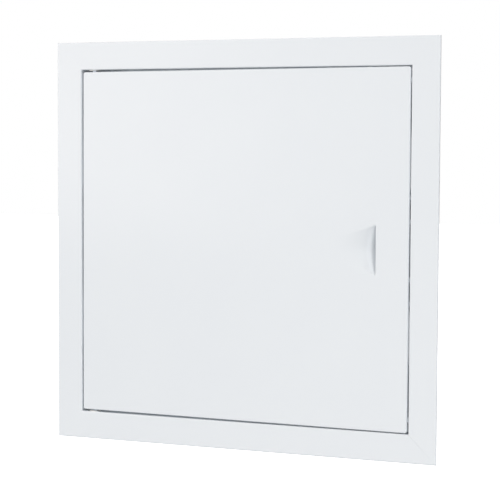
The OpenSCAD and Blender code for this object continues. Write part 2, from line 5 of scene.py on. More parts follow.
import bmesh
import bpy
from mathutils import Matrix, Vector


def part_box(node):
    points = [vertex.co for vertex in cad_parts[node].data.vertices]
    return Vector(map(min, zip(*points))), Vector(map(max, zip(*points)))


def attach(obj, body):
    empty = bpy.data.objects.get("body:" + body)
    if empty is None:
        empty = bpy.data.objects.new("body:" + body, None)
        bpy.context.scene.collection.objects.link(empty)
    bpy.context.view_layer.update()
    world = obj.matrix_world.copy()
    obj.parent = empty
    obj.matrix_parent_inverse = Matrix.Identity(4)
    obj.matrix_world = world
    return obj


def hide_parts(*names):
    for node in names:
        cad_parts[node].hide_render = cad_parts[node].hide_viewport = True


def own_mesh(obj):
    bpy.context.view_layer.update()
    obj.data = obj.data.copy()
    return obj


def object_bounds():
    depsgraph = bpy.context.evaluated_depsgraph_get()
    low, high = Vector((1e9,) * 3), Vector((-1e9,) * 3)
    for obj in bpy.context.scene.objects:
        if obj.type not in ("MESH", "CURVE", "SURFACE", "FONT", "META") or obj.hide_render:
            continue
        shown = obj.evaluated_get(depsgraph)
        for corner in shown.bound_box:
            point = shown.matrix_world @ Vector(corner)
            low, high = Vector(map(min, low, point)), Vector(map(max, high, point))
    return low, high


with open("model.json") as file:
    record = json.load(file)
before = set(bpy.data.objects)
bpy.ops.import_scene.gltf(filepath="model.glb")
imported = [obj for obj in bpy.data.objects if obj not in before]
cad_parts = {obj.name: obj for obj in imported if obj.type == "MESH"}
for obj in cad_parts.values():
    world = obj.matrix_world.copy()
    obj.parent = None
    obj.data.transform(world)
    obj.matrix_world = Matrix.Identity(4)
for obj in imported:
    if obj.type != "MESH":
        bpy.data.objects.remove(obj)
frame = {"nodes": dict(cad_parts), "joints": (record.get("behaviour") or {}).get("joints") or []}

bl_info = {
    "name": "Flush Access Panel",
    "version": (1, 0, 0),
    "blender": (4, 5, 0),
    "location": "View3D > Sidebar > Access Panel",
    "description": "Models and finishes a sheet-steel access panel round its construction",
    "category": "Add Mesh",
}

MM = 0.001
TOUCH = 0.01 * MM
EDGE_BREAK = 0.12 * MM
DRILL_REACH = 3 * MM
QUARTER = math.radians(90)

# The construction's own places: every piece below is worked out from these corners
CAD_LOW, CAD_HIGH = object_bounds()
STILE_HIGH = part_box("frame_latch_stile")[1]
DOOR_LOW, DOOR_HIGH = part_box("door_panel")
BUSH_LOW, BUSH_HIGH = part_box("pivot_bush_top")
UPPER_BRACKET_LOW, UPPER_BRACKET_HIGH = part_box("hinge_bracket")
PIN_LOW, PIN_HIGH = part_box("release_pin")
CLIP_LOW, CLIP_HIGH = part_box("pin_clip")
SPRING_LOW, SPRING_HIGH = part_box("pin_spring")
LOWER_PIN_LOW, LOWER_PIN_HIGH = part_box("lower_pivot_pin")
WASHER_LOW, WASHER_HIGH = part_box("pivot_washer")
CATCH_LOW, CATCH_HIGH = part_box("magnet_housing_upper")
CORNER_LOW, CORNER_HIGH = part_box("corner_bracket_top_right")
JOINTS = {joint["name"]: joint for joint in frame["joints"]}
PIVOT = Vector(JOINTS["door_hinge"]["pos_m"])
FACE_Y = DOOR_LOW.y
BACK_Y = DOOR_HIGH.y
CATCH_MID = (CATCH_LOW.z + CATCH_HIGH.z) / 2


def linear(hex_value):
    """Linear red, green and blue of an sRGB hex colour."""
    channels = [int(hex_value[i:i + 2], 16) / 255 for i in (1, 3, 5)]
    return [c / 12.92 if c <= 0.04045 else ((c + 0.055) / 1.055) ** 2.4 for c in channels]


def length(name, description, mm):
    """Length property, given in millimetres."""
    return bpy.props.FloatProperty(name=name, description=description, default=mm * MM,
                                   precision=5, unit="LENGTH", subtype="DISTANCE")


def turn(name, description, degrees):
    """Angle property, given in degrees."""
    return bpy.props.FloatProperty(name=name, description=description, default=math.radians(degrees),
                                   precision=3, unit="ROTATION", subtype="ANGLE")


def amount(name, description, value):
    """Plain number property."""
    return bpy.props.FloatProperty(name=name, description=description, default=value, min=0,
                                   subtype="FACTOR", soft_max=5)


def limits(name, description, start, end):
    """Pair of limits between which a light sets in, as parts of a unit direction along one axis."""
    return bpy.props.FloatVectorProperty(name=name, description=description, default=(start, end),
                                         size=2, min=-1, max=1, precision=3)


def colour(name, description, hex_value):
    """Colour property, given as an sRGB hex value."""
    return bpy.props.FloatVectorProperty(name=name, description=description, default=linear(hex_value),
                                         size=3, min=0, max=1, subtype="COLOR")


class FrameSizes(bpy.types.PropertyGroup):
    """Sizes of the folded frame and its fixings"""
    sheet: length("Sheet", "Thickness of the frame sheet, a hair under 1 mm so that the hem closes", 0.97)
    flange: length("Flange", "Width of the flange from its outer edge to the opening", 24)
    hem: length("Hem", "Width of the closed hem along the outer edge", 9)
    nose_r: length("Nose radius", "Outside radius of the hem's round nose", 0.995)
    front_bend: length("Front bend", "Outside radius of the bend between flange and collar", 1.05)
    back_bend: length("Back bend", "Inside radius of the bend between collar and stop lip", 0.4)
    stop_lip: length("Stop lip", "Width of the stop lip at the back of the collar", 12)
    mitre_line: length("Mitre line", "Open line at the lower mitre of the latch side", 0.12)
    anchor_mid: length("Anchor height", "Distance of a tongue's middle from the frame's middle", 74)
    anchor_len: length("Anchor length", "Length of an anchor tongue", 47)
    anchor_w: length("Anchor width", "Width of an anchor tongue", 7)
    anchor_cut: length("Anchor cut", "Width of the lanced cut round a tongue", 0.6)
    anchor_depth: length("Anchor depth", "Depth of a tongue's middle behind the wall face", 7.5)
    anchor_angle: turn("Anchor angle", "Angle that a tongue is bent out by", 20)
    fix_spacing: length("Fixing spacing", "Distance between the two fixing holes of one side", 220)
    fix_hole: length("Fixing hole", "Diameter of a fixing hole", 4.5)
    fix_depth: length("Fixing depth", "Depth of fixing holes and bracket rivets behind the wall face", 14)
    bracket_t: length("Bracket", "Thickness of a corner bracket", 1.2)
    bracket_leg: length("Bracket leg", "Length of each leg of a corner bracket", 30)
    bracket_corner: length("Bracket corner", "Radius of a corner bracket's free corners", 1.5)
    bracket_rivet_in: length("First rivet", "Distance from the corner to a bracket's first rivet", 10)
    bracket_rivet_pitch: length("Rivet pitch", "Distance between the two rivets of one leg", 12)


class DoorSizes(bpy.types.PropertyGroup):
    """Sizes of the folded door and its finger pull"""
    sheet: length("Sheet", "Thickness of the door sheet", 1)
    corner: length("Corner radius", "Radius of the door's corners", 2)
    bend: length("Bend radius", "Outside radius of the door's bends", 1.05)
    edge: length("Edge growth", "Growth of the outline over the solid's, which narrows the gap", 0.3)
    taper: length("Taper", "Rise of each end of the latch side, and fall of the hinge side's", 0.55)
    lean: length("Lean", "Shift of the top edge towards the latch side", 0.4)
    lip: length("Lip", "Width of the lip folded in along the back", 7)
    lip_slit: length("Lip slit", "Width of the open mitre at the corners of the lip", 0.6)
    notch: length("Catch notch", "Length of the notch in the lip at each catch", 29)
    tab: length("Corner tab", "Length of the tabs folded behind the latch return", 16)
    tab_corner: length("Tab corner", "Radius of a tab's free corners", 2)
    pull_inset: length("Pull inset", "Distance from the latch edge to the slit of the pull", 28)
    pull_h: length("Slit", "Length of the slit", 41)
    pull_len: length("Scoop length", "Length of the scoop from the slit to where it runs out", 37)
    pull_apex: length("Scoop apex", "Distance from the slit to the point that the rims head for", 59)
    pull_keel: amount("Scoop keel", "Rounding of the scoop's keel, as a share of its half width", 0.3)
    pull_curve: amount("Scoop curve", "Power by which the keel rises from the slit", 1.8)
    pull_depth: length("Scoop depth", "Depth of the scoop at the slit", 6.8)
    pull_throat: length("Throat", "Length of the stretch next to the slit where the scoop is fuller", 11)
    pull_dip: length("Throat dip", "Depth that the throat adds at the slit", 2.6)
    pull_full: amount("Throat fullness", "Share by which the throat fills out the scoop's section", 0.4)
    pull_field: length("Pressed field", "Side of the square of sheet that the press forms", 48)
    rivet_depth: length("Rivet depth", "Depth of the return rivets behind the face", 4)
    rivet_edge: length("Rivet edge", "Distance from the top or bottom edge to the first rivet", 10.5)


class HingeSizes(bpy.types.PropertyGroup):
    """Sizes of the pivots, their brackets and the rivets"""
    pin_d: length("Pin", "Diameter of both pivot pins", 5)
    bore_clear: length("Bore clearance", "Running clearance round a pin", 0.05)
    pin_nose: length("Pin chamfer", "Chamfer at the free ends of the pins", 0.7)
    pin_bend: length("Pin bend", "Radius of the release pin's bend at its axis", 6)
    pin_groove: length("Groove", "Depth of the clip's groove in the pin", 0.5)
    clip_room: length("Clip room", "Room round the clip in its groove", 0.05)
    head_d: length("Pin head", "Diameter of the lower pin's head", 7.5)
    head_h: length("Pin head height", "Height of the lower pin's head", 1.5)
    bracket_t: length("Hinge bracket", "Thickness of the hinge brackets", 1.5)
    bracket_bend: length("Hinge bend", "Outside radius of the hinge brackets' bends", 2.1)
    bracket_corner: length("Hinge corner", "Radius of the lower bracket's free corners", 2)
    bush_d: length("Bush", "Outside diameter of a bush in the collar", 7.1)
    bush_flange_t: length("Bush flange", "Thickness of the bush's flange", 0.55)
    bush_ridge: length("Bush ridge", "Height of the ridge that snaps behind the collar", 0.45)
    bush_grip: length("Bush grip", "Distance from the bush's flange to its ridge", 1.05)
    spring_wire: length("Spring wire", "Diameter of the spring wire", 0.9)
    spring_turns: bpy.props.IntProperty(
        name="Spring turns", description="Turns, with one closed at each end",
        default=8, min=4, subtype="UNSIGNED")
    rivet_pitch: length("Rivet pitch", "Distance between the two rivets of a hinge bracket", 8)
    rivet_d: length("Rivet shank", "Diameter of a rivet shank", 3)
    rivet_head_d: length("Rivet head", "Diameter of the domed rivet head", 5.2)
    rivet_head_h: length("Rivet head height", "Height of the domed rivet head", 1)
    rivet_pit_d: length("Rivet pit", "Diameter of the pit that the broken mandrel leaves", 1.7)
    rivet_tail_d: length("Rivet tail", "Diameter of the upset rivet tail", 4.2)
    rivet_tail_h: length("Rivet tail height", "Height of the upset rivet tail", 1.2)


class CatchSizes(bpy.types.PropertyGroup):
    """Sizes of the magnetic catches"""
    foot_t: length("Foot", "Thickness of the mounting foot", 2)
    foot_depth: length("Foot depth", "Depth of the mounting foot", 6.5)
    body_h: length("Body height", "Height of the catch's body", 13)
    body_front: length("Body front", "Distance from the door's face to the front of the body", 6.1)
    wall: length("Wall", "Wall round the magnet's pocket", 1.5)
    pocket: length("Pocket", "Depth of the magnet's pocket", 11)
    corner: length("Corner", "Radius of the moulded edges", 0.3)
    foot_corner: length("Foot corner", "Radius of the foot's corners", 1.2)
    rivet_pitch: length("Rivet pitch", "Distance between the two rivets of a catch", 19.7)


class Finishes(bpy.types.PropertyGroup):
    """Colours of the finishes"""
    coat: colour("Powder coat", "White of the powder coat", "#e0e5e9")
    coat_thin: colour("Thin coat", "White where the powder lies thinner", "#dde2e7")
    zinc: colour("Zinc plate", "Bright zinc plate", "#c3c8ce")
    zinc_passivated: colour("Passivated zinc", "Zinc where the blue passivation is thicker", "#a9b3c0")
    nylon: colour("Nylon", "Moulded white nylon", "#ecece8")
    ferrite: colour("Ferrite", "Sintered ferrite", "#2c2c2f")
    ferrite_grain: colour("Ferrite grain", "Ground grains of the ferrite", "#47474b")
    wire: colour("Spring wire", "Drawn spring wire", "#8f9297")
    floor: colour("Floor", "Pale floor", "#f4f4f4")


class StageSettings(bpy.types.PropertyGroup):
    """Camera and light"""
    azimuth: turn("Azimuth", "Camera's turn to the right of the panel", 22.274)
    elevation: turn("Elevation", "Camera's height above the level", 3.651)
    roll: turn("Roll", "Camera's turn about its own axis", 0.257)
    distance: length("Distance", "Distance of the camera from its target", 1395.04)
    target_x: length("Target right", "Target's place to the right of the panel's middle", 9.139)
    target_z: length("Target up", "Target's place above the panel's middle", -3.099)
    focal: amount("Focal length", "Focal length in picture widths", 3.2845)
    glow: amount("Floor glow", "Radiance that the lamps over the floor give it", 0.75)
    over: amount("Light from above", "Radiance of the studio overhead", 0.44)
    under: amount("Light from below", "Radiance of the studio underfoot", 0.43)
    fill_rise: limits("Fill rise", "Heights where the light from below turns to that from above", -0.9, 0.9)
    behind: amount("Light from behind", "Radiance that the ceiling behind the panel adds", 0.9)
    behind_low: amount("Low back light", "Share of the light from behind that comes from low down", 0.1)
    behind_depth: limits("Back depth", "Depths between which the light from behind sets in", -0.1, 0.4)
    behind_rise: limits("Back rise", "Heights between which the light from behind sets in", -0.8, 0.8)
    key: amount("Softbox", "Radiance that the softbox adds", 2.0)
    key_tint: colour("Softbox tint", "Colour of the softbox", "#fff6f0")
    key_side: limits("Softbox side", "Places across between which the softbox sets in", -0.26, -0.52)
    key_rise: limits("Softbox rise", "Heights between which the softbox sets in", -0.064, -0.036)
    key_depth: limits("Softbox depth", "Depths between which the softbox sets in", 0, -0.3)
    front: amount("Front light", "Radiance that the light straight ahead adds", 0.55)
    front_tint: colour("Front light tint", "Colour of the light straight ahead", "#fffdfa")
    front_depth: limits("Front depth", "Depths between which the light straight ahead sets in", -0.84, -0.98)
    flank: amount("Side light", "Radiance of the light on the latch side", 1.6)
    flank_side: limits("Side place", "Places across between which the side light sets in", 0.2, 0.5)
    flank_depth: limits("Side depth", "Depths between which the side light sets in", -0.36, -0.64)


def object_mode():
    """Leaves edit mode and selects nothing."""
    if bpy.context.mode != "OBJECT":
        bpy.ops.object.mode_set(mode="OBJECT")
    bpy.ops.object.select_all(action="DESELECT")


def activate(piece):
    """Selects one piece alone."""
    object_mode()
    piece.select_set(True)
    bpy.context.view_layer.objects.active = piece


def begin(name, primitive, scale=(1, 1, 1), **settings):
    """Adds a primitive at its size and place and opens it in edit mode, all selected."""
    object_mode()
    primitive(**settings)
    piece = bpy.context.active_object
    piece.scale = scale
    piece.name = name
    piece.data.name = name
    bpy.ops.object.transform_apply(location=True, rotation=True, scale=True)
    bpy.ops.object.mode_set(mode="EDIT")
    bpy.ops.mesh.select_mode(type="VERT")
    bpy.ops.mesh.select_all(action="SELECT")
    return piece


def plate(name, width, height, place, rotation):
    """Adds a flat rectangle of a size, turned and set at a place, and opens it in edit mode."""
    return begin(name, bpy.ops.mesh.primitive_plane_add, size=1, location=place, rotation=rotation,
                 scale=(width, height, 1))


def resume(piece):
    """Opens a piece in edit mode again, all selected."""
    activate(piece)
    bpy.ops.object.mode_set(mode="EDIT")
    bpy.ops.mesh.select_mode(type="VERT")
    bpy.ops.mesh.select_all(action="SELECT")


def pick(piece, kind, test):
    """Selects the vertices, edges or faces of the open piece that pass the test."""
    bpy.ops.mesh.select_mode(type=kind)
    bpy.ops.mesh.select_all(action="DESELECT")
    mesh = bmesh.from_edit_mesh(piece.data)
    parts = {"VERT": mesh.verts, "EDGE": mesh.edges, "FACE": mesh.faces}[kind]
    found = [part for part in parts if test(part)]
    if not found:
        raise RuntimeError(f"nothing to select on {piece.name}")
    for part in found:
        part.select_set(True)
    mesh.select_flush_mode()
    bmesh.update_edit_mesh(piece.data)


def near(value, place, room=TOUCH):
    """True where a value lies at a place."""
    return abs(value - place) < room


def edge_at(**places):
    """Test for an edge that lies at the given coordinates, such as x or y, along its whole length."""
    return lambda edge: all(near(getattr(v.co, axis), place) for v in edge.verts
                            for axis, place in places.items())


def pull_edges(x=0, y=0, z=0):
    """Extrudes the selected edges, and leaves the new ones selected."""
    bpy.ops.mesh.extrude_edges_move(TRANSFORM_OT_translate={"value": (x, y, z)})


def pull_faces(x=0, y=0, z=0):
    """Extrudes the selected faces, and leaves the new ones selected."""
    bpy.ops.mesh.extrude_region_move(TRANSFORM_OT_translate={"value": (x, y, z)})


def round_fold(piece, radius, test, segments):
    """Rounds the folds of the open piece that pass the test."""
    pick(piece, "EDGE", test)
    bpy.ops.mesh.bevel(offset=radius, segments=segments, affect="EDGES", clamp_overlap=False)


def round_corners(radius, segments):
    """Rounds the selected corners of an open sheet."""
    bpy.ops.mesh.bevel(offset=radius, segments=segments, affect="VERTICES")


def cut(place, normal, fill=False, trim=False):
    """Cuts what is selected by a plane, and takes away what lies past it when trimming."""
    bpy.ops.mesh.bisect(plane_co=place, plane_no=normal, use_fill=fill, clear_outer=trim)


def face_outwards(piece, normal, place):
    """Makes the open sheet's normals agree and turns the face nearest to a place towards a normal."""
    bpy.ops.mesh.select_mode(type="FACE")
    bpy.ops.mesh.select_all(action="SELECT")
    bpy.ops.mesh.normals_make_consistent(inside=False)
    mesh = bmesh.from_edit_mesh(piece.data)
    nearest = min(mesh.faces, key=lambda f: (f.calc_center_median() - Vector(place)).length)
    if nearest.normal.dot(Vector(normal)) < 0:
        bpy.ops.mesh.flip_normals()


def close_shell(piece):
    """Merges doubled points and turns a closed piece's normals outwards."""
    resume(piece)
    bpy.ops.mesh.remove_doubles(threshold=TOUCH / 10)
    bpy.ops.mesh.normals_make_consistent(inside=False)
    object_mode()


def apply_modifier(piece, kind, **settings):
    """Adds a modifier with its settings and applies it."""
    activate(piece)
    bpy.ops.object.modifier_add(type=kind)
    modifier = piece.modifiers[-1]
    for key, value in settings.items():
        setattr(modifier, key, value)
    bpy.ops.object.modifier_apply(modifier=modifier.name)


def thicken(piece, sheet):
    """Gives a folded sheet its thickness on the side away from its normals."""
    apply_modifier(piece, "SOLIDIFY", thickness=sheet, offset=-1, use_even_offset=True, use_rim=True)


def soften(piece, width, segments=2, degrees=50):
    """Breaks the sharp edges of a piece."""
    apply_modifier(piece, "BEVEL", width=width, segments=segments, limit_method="ANGLE",
                   angle_limit=math.radians(degrees), use_clamp_overlap=True, harden_normals=False)


def lean_to(axis):
    """Turn that brings the Z axis to another one."""
    return Vector((0, 0, 1)).rotation_difference(Vector(axis))


def along(axis, x, y, z):
    """Placement of a piece made about Z so that it runs along an axis from a place."""
    return Matrix.Translation((x, y, z)) @ lean_to(axis).to_matrix().to_4x4()


def drill(piece, centre, axis, radius, reach=DRILL_REACH):
    """Cuts a round hole through a piece along an axis."""
    bit = begin("drill_bit", bpy.ops.mesh.primitive_cylinder_add, vertices=32, radius=radius,
                depth=2 * reach, location=centre, rotation=lean_to(axis).to_euler())
    apply_modifier(piece, "BOOLEAN", object=bit, operation="DIFFERENCE", solver="EXACT")
    bpy.data.objects.remove(bit)


def place_by(piece, matrix):
    """Moves a piece by a matrix and leaves its place in its mesh."""
    activate(piece)
    piece.matrix_world = matrix @ piece.matrix_world
    bpy.ops.object.transform_apply(location=True, rotation=True, scale=True)


def copy_of(piece, name):
    """Copy of a piece with a mesh of its own."""
    twin = piece.copy()
    twin.data = piece.data.copy()
    twin.name = name
    twin.data.name = name
    bpy.context.scene.collection.objects.link(twin)
    return twin


def stamp(pattern, name, matrices):
    """One piece made of copies of a pattern, one at each matrix."""
    copies = []
    for matrix in matrices:
        twin = copy_of(pattern, name)
        place_by(twin, matrix)
        copies.append(twin)
    activate(copies[0])
    for twin in copies:
        twin.select_set(True)
    bpy.ops.object.join()
    group = bpy.context.active_object
    group.name = name
    return group


def turned(name, rings, sides=32, bored=False):
    """Piece turned about Z: each ring is a radius and a height, and is extruded into the next."""
    radius, height = rings[0]
    piece = begin(name, bpy.ops.mesh.primitive_circle_add, vertices=sides, radius=radius,
                  fill_type="NOTHING", location=(0, 0, height))
    if not bored:
        bpy.ops.mesh.edge_face_add()
    for next_radius, next_height in rings[1:]:
        pull_edges(z=next_height - height)
        grow = next_radius / radius
        bpy.ops.transform.resize(value=(grow, grow, 1), center_override=(0, 0, next_height))
        radius, height = next_radius, next_height
    if not bored:
        bpy.ops.mesh.edge_face_add()
    close_shell(piece)
    return piece


def dress(piece, slot, body, *nodes, smooth=32):
    """Shades a piece, gives it its finish and seats it on its body in place of its solids."""
    activate(piece)
    bpy.ops.object.shade_smooth_by_angle(angle=math.radians(smooth))
    apply_modifier(piece, "WEIGHTED_NORMAL", mode="FACE_AREA", weight=50, keep_sharp=True)
    piece.data.materials.clear()
    piece.data.materials.append(finish_named(slot))
    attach(piece, body)
    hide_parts(*nodes)


def add_node(tree, kind, settings=None, inputs=None):
    """Adds a node with its settings, and fills or links its inputs."""
    node = tree.nodes.new(kind)
    for key, value in (settings or {}).items():
        setattr(node, key, value)
    fill_inputs(tree, node, inputs or {})
    return node


def fill_inputs(tree, node, inputs):
    """Fills the inputs of a node, or links them to another node's output."""
    for key, value in inputs.items():
        if isinstance(value, bpy.types.NodeSocket):
            tree.links.new(value, node.inputs[key])
        else:
            node.inputs[key].default_value = value


def new_material(name):
    """Material of that name with its node tree, its shader and its object coordinates."""
    material = bpy.data.materials.new(name)
    material.use_nodes = True
    tree = material.node_tree
    shader = tree.nodes["Principled BSDF"]
    place = add_node(tree, "ShaderNodeTexCoord").outputs["Object"]
    return material, tree, shader, place


def opaque(rgb):
    """A colour with full alpha."""
    return (*rgb, 1)


def powder_coat(name, finishes):
    """Polyester powder baked on sheet steel."""
    # An even cool white, glossy enough to mirror a softbox; the melt leaves a shallow ripple, called
    # orange peel, about 2 mm from crest to crest, and the film varies a little over a hand's breadth
    peel_mm, film_mm, ripple_mm = 2.2, 70, 0.002
    material, tree, shader, place = new_material(name)
    film = add_node(tree, "ShaderNodeTexNoise", inputs={"Vector": place, "Scale": 1 / (film_mm * MM),
                                                        "Detail": 3, "Roughness": 0.55})
    white = add_node(tree, "ShaderNodeMix", {"data_type": "RGBA"},
                     {0: film.outputs["Fac"], 6: opaque(finishes.coat), 7: opaque(finishes.coat_thin)})
    sheen = add_node(tree, "ShaderNodeMapRange", inputs={"Value": film.outputs["Fac"], "From Min": 0.2,
                                                         "From Max": 0.8, "To Min": 0.12, "To Max": 0.16})
    peel = add_node(tree, "ShaderNodeTexNoise", inputs={"Vector": place, "Scale": 1 / (peel_mm * MM),
                                                        "Detail": 1.5, "Roughness": 0.4})
    bump = add_node(tree, "ShaderNodeBump", inputs={"Height": peel.outputs["Fac"], "Strength": 1,
                                                    "Distance": ripple_mm * MM})
    fill_inputs(tree, shader, {"Base Color": white.outputs[2], "Roughness": sheen.outputs["Result"],
                               "Normal": bump.outputs["Normal"]})
    return material


def zinc_plate(name, finishes):
    """Bright electroplated zinc on steel."""
    # A cool bright metal, faintly clouded where the blue passivation is thicker, with the fine
    # lines of the rolled sheet running along it
    cloud_mm, roll_mm, roll_long, roll_depth_mm = 9, 0.35, 30, 0.01
    material, tree, shader, place = new_material(name)
    cloud = add_node(tree, "ShaderNodeTexNoise", inputs={"Vector": place, "Scale": 1 / (cloud_mm * MM),
                                                         "Detail": 4, "Roughness": 0.6})
    tint = add_node(tree, "ShaderNodeMix", {"data_type": "RGBA"},
                    {0: cloud.outputs["Fac"], 6: opaque(finishes.zinc),
                     7: opaque(finishes.zinc_passivated)})
    stretched = add_node(tree, "ShaderNodeMapping", inputs={"Vector": place, "Scale": (1, 1, 1 / roll_long)})
    lines = add_node(tree, "ShaderNodeTexNoise", inputs={"Vector": stretched.outputs["Vector"],
                                                         "Scale": 1 / (roll_mm * MM), "Detail": 2})
    gloss = add_node(tree, "ShaderNodeMapRange", inputs={"Value": lines.outputs["Fac"], "From Min": 0.3,
                                                         "From Max": 0.7, "To Min": 0.26, "To Max": 0.42})
    bump = add_node(tree, "ShaderNodeBump", inputs={"Height": lines.outputs["Fac"], "Strength": 0.4,
                                                    "Distance": roll_depth_mm * MM})
    fill_inputs(tree, shader, {"Metallic": 1, "Base Color": tint.outputs[2],
                               "Roughness": gloss.outputs["Result"], "Normal": bump.outputs["Normal"]})
    return material


def moulded_nylon(name, finishes):
    """Injection-moulded natural nylon."""
    # A waxy off-white that lets a little light in, with the fine spark-eroded grain of its mould
    grain_mm, depth_mm = 0.6, 0.02
    material, tree, shader, place = new_material(name)
    grain = add_node(tree, "ShaderNodeTexNoise", inputs={"Vector": place, "Scale": 1 / (grain_mm * MM),
                                                         "Detail": 3})
    gloss = add_node(tree, "ShaderNodeMapRange", inputs={"Value": grain.outputs["Fac"], "From Min": 0.3,
                                                         "From Max": 0.7, "To Min": 0.38, "To Max": 0.52})
    bump = add_node(tree, "ShaderNodeBump", inputs={"Height": grain.outputs["Fac"], "Strength": 0.5,
                                                    "Distance": depth_mm * MM})
    fill_inputs(tree, shader, {"Base Color": opaque(finishes.nylon), "IOR": 1.53,
                               "Subsurface Weight": 0.15, "Subsurface Scale": 1,
                               "Subsurface Radius": (1.2 * MM, 1.1 * MM, 0.9 * MM),
                               "Roughness": gloss.outputs["Result"], "Normal": bump.outputs["Normal"]})
    return material


def sintered_ferrite(name, finishes):
    """Pressed and sintered ferrite."""
    # A dull charcoal ceramic with the ground grains of its faces just lighter
    grain_mm, depth_mm = 0.5, 0.03
    material, tree, shader, place = new_material(name)
    grain = add_node(tree, "ShaderNodeTexVoronoi", inputs={"Vector": place, "Scale": 1 / (grain_mm * MM)})
    shade = add_node(tree, "ShaderNodeMix", {"data_type": "RGBA"},
                     {0: grain.outputs["Distance"], 6: opaque(finishes.ferrite),
                      7: opaque(finishes.ferrite_grain)})
    bump = add_node(tree, "ShaderNodeBump", inputs={"Height": grain.outputs["Distance"], "Strength": 0.5,
                                                    "Distance": depth_mm * MM})
    fill_inputs(tree, shader, {"Base Color": shade.outputs[2], "Roughness": 0.62,
                               "Normal": bump.outputs["Normal"]})
    return material


def drawn_wire(name, finishes):
    """Drawn spring steel."""
    # Darker than the plate, with patchy gloss where the drawing soap has burnt on
    patch_mm, burnt = 1.4, 0.7
    material, tree, shader, place = new_material(name)
    patch = add_node(tree, "ShaderNodeTexNoise", inputs={"Vector": place, "Scale": 1 / (patch_mm * MM),
                                                         "Detail": 4})
    tone = add_node(tree, "ShaderNodeMix", {"data_type": "RGBA"},
                    {0: patch.outputs["Fac"], 6: opaque(finishes.wire),
                     7: opaque([burnt * c for c in finishes.wire])})
    gloss = add_node(tree, "ShaderNodeMapRange", inputs={"Value": patch.outputs["Fac"], "From Min": 0.3,
                                                         "From Max": 0.7, "To Min": 0.22, "To Max": 0.4})
    fill_inputs(tree, shader, {"Metallic": 1, "Base Color": tone.outputs[2],
                               "Roughness": gloss.outputs["Result"]})
    return material


# The maker of each slot's material, and the material's own name
FINISH_MAKERS = {
    "frame_powder_coat": (powder_coat, "frame_powder_coat"),
    "door_powder_coat": (powder_coat, "door_powder_coat"),
    "rivet_coat": (powder_coat, "rivet_powder_coat"),
    "zinc_steel": (zinc_plate, "zinc_plated_steel"),
    "nylon": (moulded_nylon, "moulded_nylon"),
    "ferrite": (sintered_ferrite, "sintered_ferrite"),
    "spring_steel": (drawn_wire, "drawn_spring_wire"),
}
made_finishes = {}


def finish_named(slot):
    """Material of a slot, made when it is first asked for."""
    if slot not in made_finishes:
        maker, name = FINISH_MAKERS[slot]
        made_finishes[slot] = maker(name, bpy.context.scene.panel_finishes)
    return made_finishes[slot]


def folded_side(name, sizes, lower_line=0, upper_line=0, anchors=False):
    """Frame side along Z at the right of the opening: hem, flange, collar and stop lip in one sheet."""
    outer = STILE_HIGH.x
    reach = CAD_HIGH.z
    opening = outer - sizes.flange
    lip_y = STILE_HIGH.y - sizes.sheet
    middle = (opening + sizes.flange / 2, FACE_Y, 0)
    piece = plate(name, sizes.flange, 2 * reach, middle, (QUARTER, 0, 0))
    pick(piece, "EDGE", edge_at(x=outer))
    pull_edges(y=-FACE_Y)
    pull_edges(x=-sizes.hem)
    pick(piece, "EDGE", edge_at(x=opening))
    pull_edges(y=lip_y - FACE_Y)
    pull_edges(x=-sizes.stop_lip)
    round_fold(piece, sizes.nose_r, edge_at(x=outer, y=FACE_Y), segments=6)
    round_fold(piece, sizes.nose_r, edge_at(x=outer, y=0), segments=6)
    round_fold(piece, sizes.front_bend, edge_at(x=opening, y=FACE_Y), segments=6)
    round_fold(piece, sizes.back_bend, edge_at(x=opening, y=lip_y), segments=3)
    if anchors:
        for side in (-1, 1):
            lance_anchor(piece, sizes, opening, side)
    face_outwards(piece, (0, -1, 0), middle)
    thicken(piece, sizes.sheet)
    soften(piece, EDGE_BREAK)
    resume(piece)
    for way, line in ((1, upper_line), (-1, lower_line)):
        bpy.ops.mesh.select_all(action="SELECT")
        # The line of an open mitre runs out towards the outer corner
        normal = Vector((-1, 0, way)).normalized() + Vector((-1, 0, -way)) * line / (4 * sizes.flange)
        cut(Vector((outer, 0, way * reach)), normal, fill=True, trim=True)
    close_shell(piece)
    return piece


def lance_anchor(piece, sizes, opening, side):
    """Cuts one anchor tongue's window in the collar and bends the tongue out, rooted at its far end."""
    window = sizes.anchor_len + sizes.anchor_cut
    root = side * (sizes.anchor_mid + window / 2)
    tip = root - side * sizes.anchor_len
    end = root - side * window
    front = sizes.anchor_depth - sizes.anchor_w / 2
    back = sizes.anchor_depth + sizes.anchor_w / 2

    def collar_face(face):
        return all(near(v.co.x, opening) for v in face.verts)

    def in_length(face):
        return collar_face(face) and side * end < side * face.calc_center_median().z < side * root

    def slit(face):
        centre = face.calc_center_median()
        in_width = front - sizes.anchor_cut < centre.y < back + sizes.anchor_cut
        return in_length(face) and in_width and (not front < centre.y < back or side * centre.z < side * tip)

    for z in (root, tip, end):
        pick(piece, "FACE", collar_face)
        cut((0, 0, z), (0, 0, 1))
    for y in (front - sizes.anchor_cut, front, back, back + sizes.anchor_cut):
        pick(piece, "FACE", in_length)
        cut((0, y, 0), (0, 1, 0))
    pick(piece, "FACE", slit)
    bpy.ops.mesh.delete(type="FACE")
    pick(piece, "VERT", lambda v: near(v.co.x, opening) and near(v.co.z, tip)
         and front - TOUCH < v.co.y < back + TOUCH)
    bpy.ops.transform.translate(value=(sizes.anchor_len * math.sin(sizes.anchor_angle), 0,
                                       side * sizes.anchor_len * (1 - math.cos(sizes.anchor_angle))))


def quarter_turn(quarters):
    """Turn about Y by quarters, from the right of the opening to its top, left and bottom."""
    return Matrix.Rotation(-quarters * QUARTER, 4, "Y")


